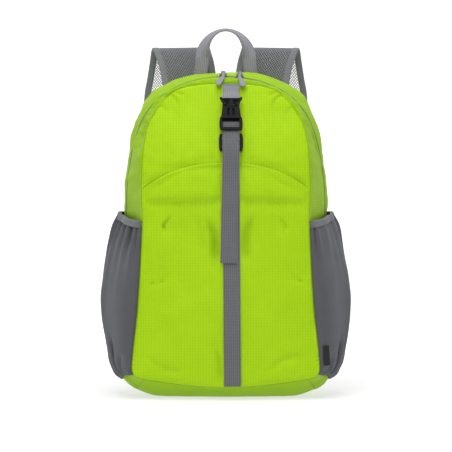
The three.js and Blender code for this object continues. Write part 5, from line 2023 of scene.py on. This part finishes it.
@dataclass
class Studio:
    """Round white paper, soft lights and the photograph's camera.

    Lengths are metres. Rows of lamps are a name, a place, a size and a power in watts.
    """

    distance: float = 2.5
    level: float = 0.2475
    aside: float = 0.000365
    frame_width: float = 0.65992
    sensor: float = 36.0
    paper_flat: float = 4.0
    paper_radius: float = 2.0
    paper_top: float = 7.0
    paper_sides: int = 96
    room: float = 0.10
    aim: tuple[float, float, float] = (0.0, 0.0, 0.26)
    lamps: tuple[tuple[str, tuple[float, float, float], float, float], ...] = (
        ("key_light", (-0.35, -1.9, 2.3), 1.4, 35),
        ("fill_light", (0.6, -2.8, 1.0), 1.6, 5),
        ("top_light", (0.0, -0.5, 2.6), 1.4, 35),
    )

    def camera(self) -> None:
        """Sets the camera level with the bag's middle."""
        data = bpy.data.cameras.new("studio_camera")
        data.sensor_width = self.sensor
        data.lens = self.sensor * self.distance / self.frame_width
        data.clip_end = 50
        made = bpy.data.objects.new("studio_camera", data)
        made.location = (self.aside, -self.distance, self.level)
        made.rotation_euler = (math.pi / 2, 0, 0)
        bpy.context.scene.collection.objects.link(made)
        bpy.context.scene.camera = made

    def paper(self) -> None:
        """Lays the round paper, which curves up into a wall on all sides."""
        flat, radius, sides = self.paper_flat, self.paper_radius, self.paper_sides
        line = [(r, 0.0) for r in (0.3, 1.0, 2.0, 3.0, flat)]
        bend = np.linspace(0, math.pi / 2, 24)[1:]
        line += [(flat + radius * math.sin(a), radius * (1 - math.cos(a))) for a in bend]
        line.append((flat + radius, self.paper_top))
        mesh = bpy.data.meshes.new("studio_paper")
        drawn = bmesh.new()
        turns = np.linspace(0, 2 * math.pi, sides, endpoint=False)
        rows = [[drawn.verts.new((r * math.cos(a), r * math.sin(a), z)) for a in turns] for r, z in line]
        drawn.faces.new(rows[0])
        for low, high in zip(rows, rows[1:]):
            for i in range(sides):
                k = (i + 1) % sides
                drawn.faces.new((low[i], high[i], high[k], low[k])).smooth = True
        drawn.to_mesh(mesh)
        drawn.free()
        made = bpy.data.objects.new("studio_paper", mesh)
        made.data.materials.append(StudioPaper().material())
        bpy.context.scene.collection.objects.link(made)
        made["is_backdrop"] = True

    def light(self, name: str, place: tuple[float, float, float], size: float, power: float) -> None:
        """Adds a square soft light that faces the bag."""
        data = bpy.data.lights.new(name, "AREA")
        data.size = size
        data.energy = power
        made = bpy.data.objects.new(name, data)
        made.location = place
        made.rotation_euler = (Vector(self.aim) - Vector(place)).to_track_quat("-Z", "Y").to_euler()
        bpy.context.scene.collection.objects.link(made)

    def world(self) -> None:
        """Fills the room with even white light."""
        world = bpy.data.worlds.new("studio_world")
        world.use_nodes = True
        background = world.node_tree.nodes["Background"]
        background.inputs[0].default_value = (1.0, 1.0, 1.0, 1.0)
        background.inputs[1].default_value = self.room
        bpy.context.scene.world = world

    def build(self) -> None:
        """Builds the whole studio, camera first."""
        bpy.context.scene.view_settings.view_transform = "Standard"
        self.camera()
        self.paper()
        self.world()
        for lamp in self.lamps:
            self.light(*lamp)


def dress(nodes: dict[str, bpy.types.Object], names: Iterable[str], stuff: Stuff) -> None:
    """Gives CAD nodes that are kept a finish."""
    for name in names:
        node = nodes[name]
        node.data.materials.clear()
        node.data.materials.append(stuff.material())


def main() -> None:
    """Builds the studio and every piece of the bag, and reports each."""
    logging.basicConfig(level=logging.INFO, format="%(message)s")
    Studio().build()
    shape = BagShape()
    BodyCloth(shape).build()
    MainZip(shape).build()
    pockets = {name: SidePocket(shape, name, side) for name, side in (("left", -1), ("right", 1))}
    cloths = {name: pocket.build() for name, pocket in pockets.items()}
    SideTab(pockets["right"]).build(cloths["right"])
    strap = CentreStrap(shape)
    strap.build()
    Hardware(strap).build()
    CarryHandle(shape).build()
    for name, side in (("left", -1), ("right", 1)):
        ShoulderStrap(shape, name, side).build()
    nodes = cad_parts
    dress(nodes, ("ladder_lock_left", "ladder_lock_right"), Stuff.PLASTIC)
    dress(nodes, ("zip_slider_left", "zip_slider_right"), Stuff.METAL)
    dress(nodes, ("zip_puller_left", "zip_puller_right"), Stuff.RUBBER)
    boxes = {"cad": cad_box, "visual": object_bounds()}
    {name: [list(corner) for corner in box] for name, box in boxes.items()}


if __name__ == "__main__":
    main()
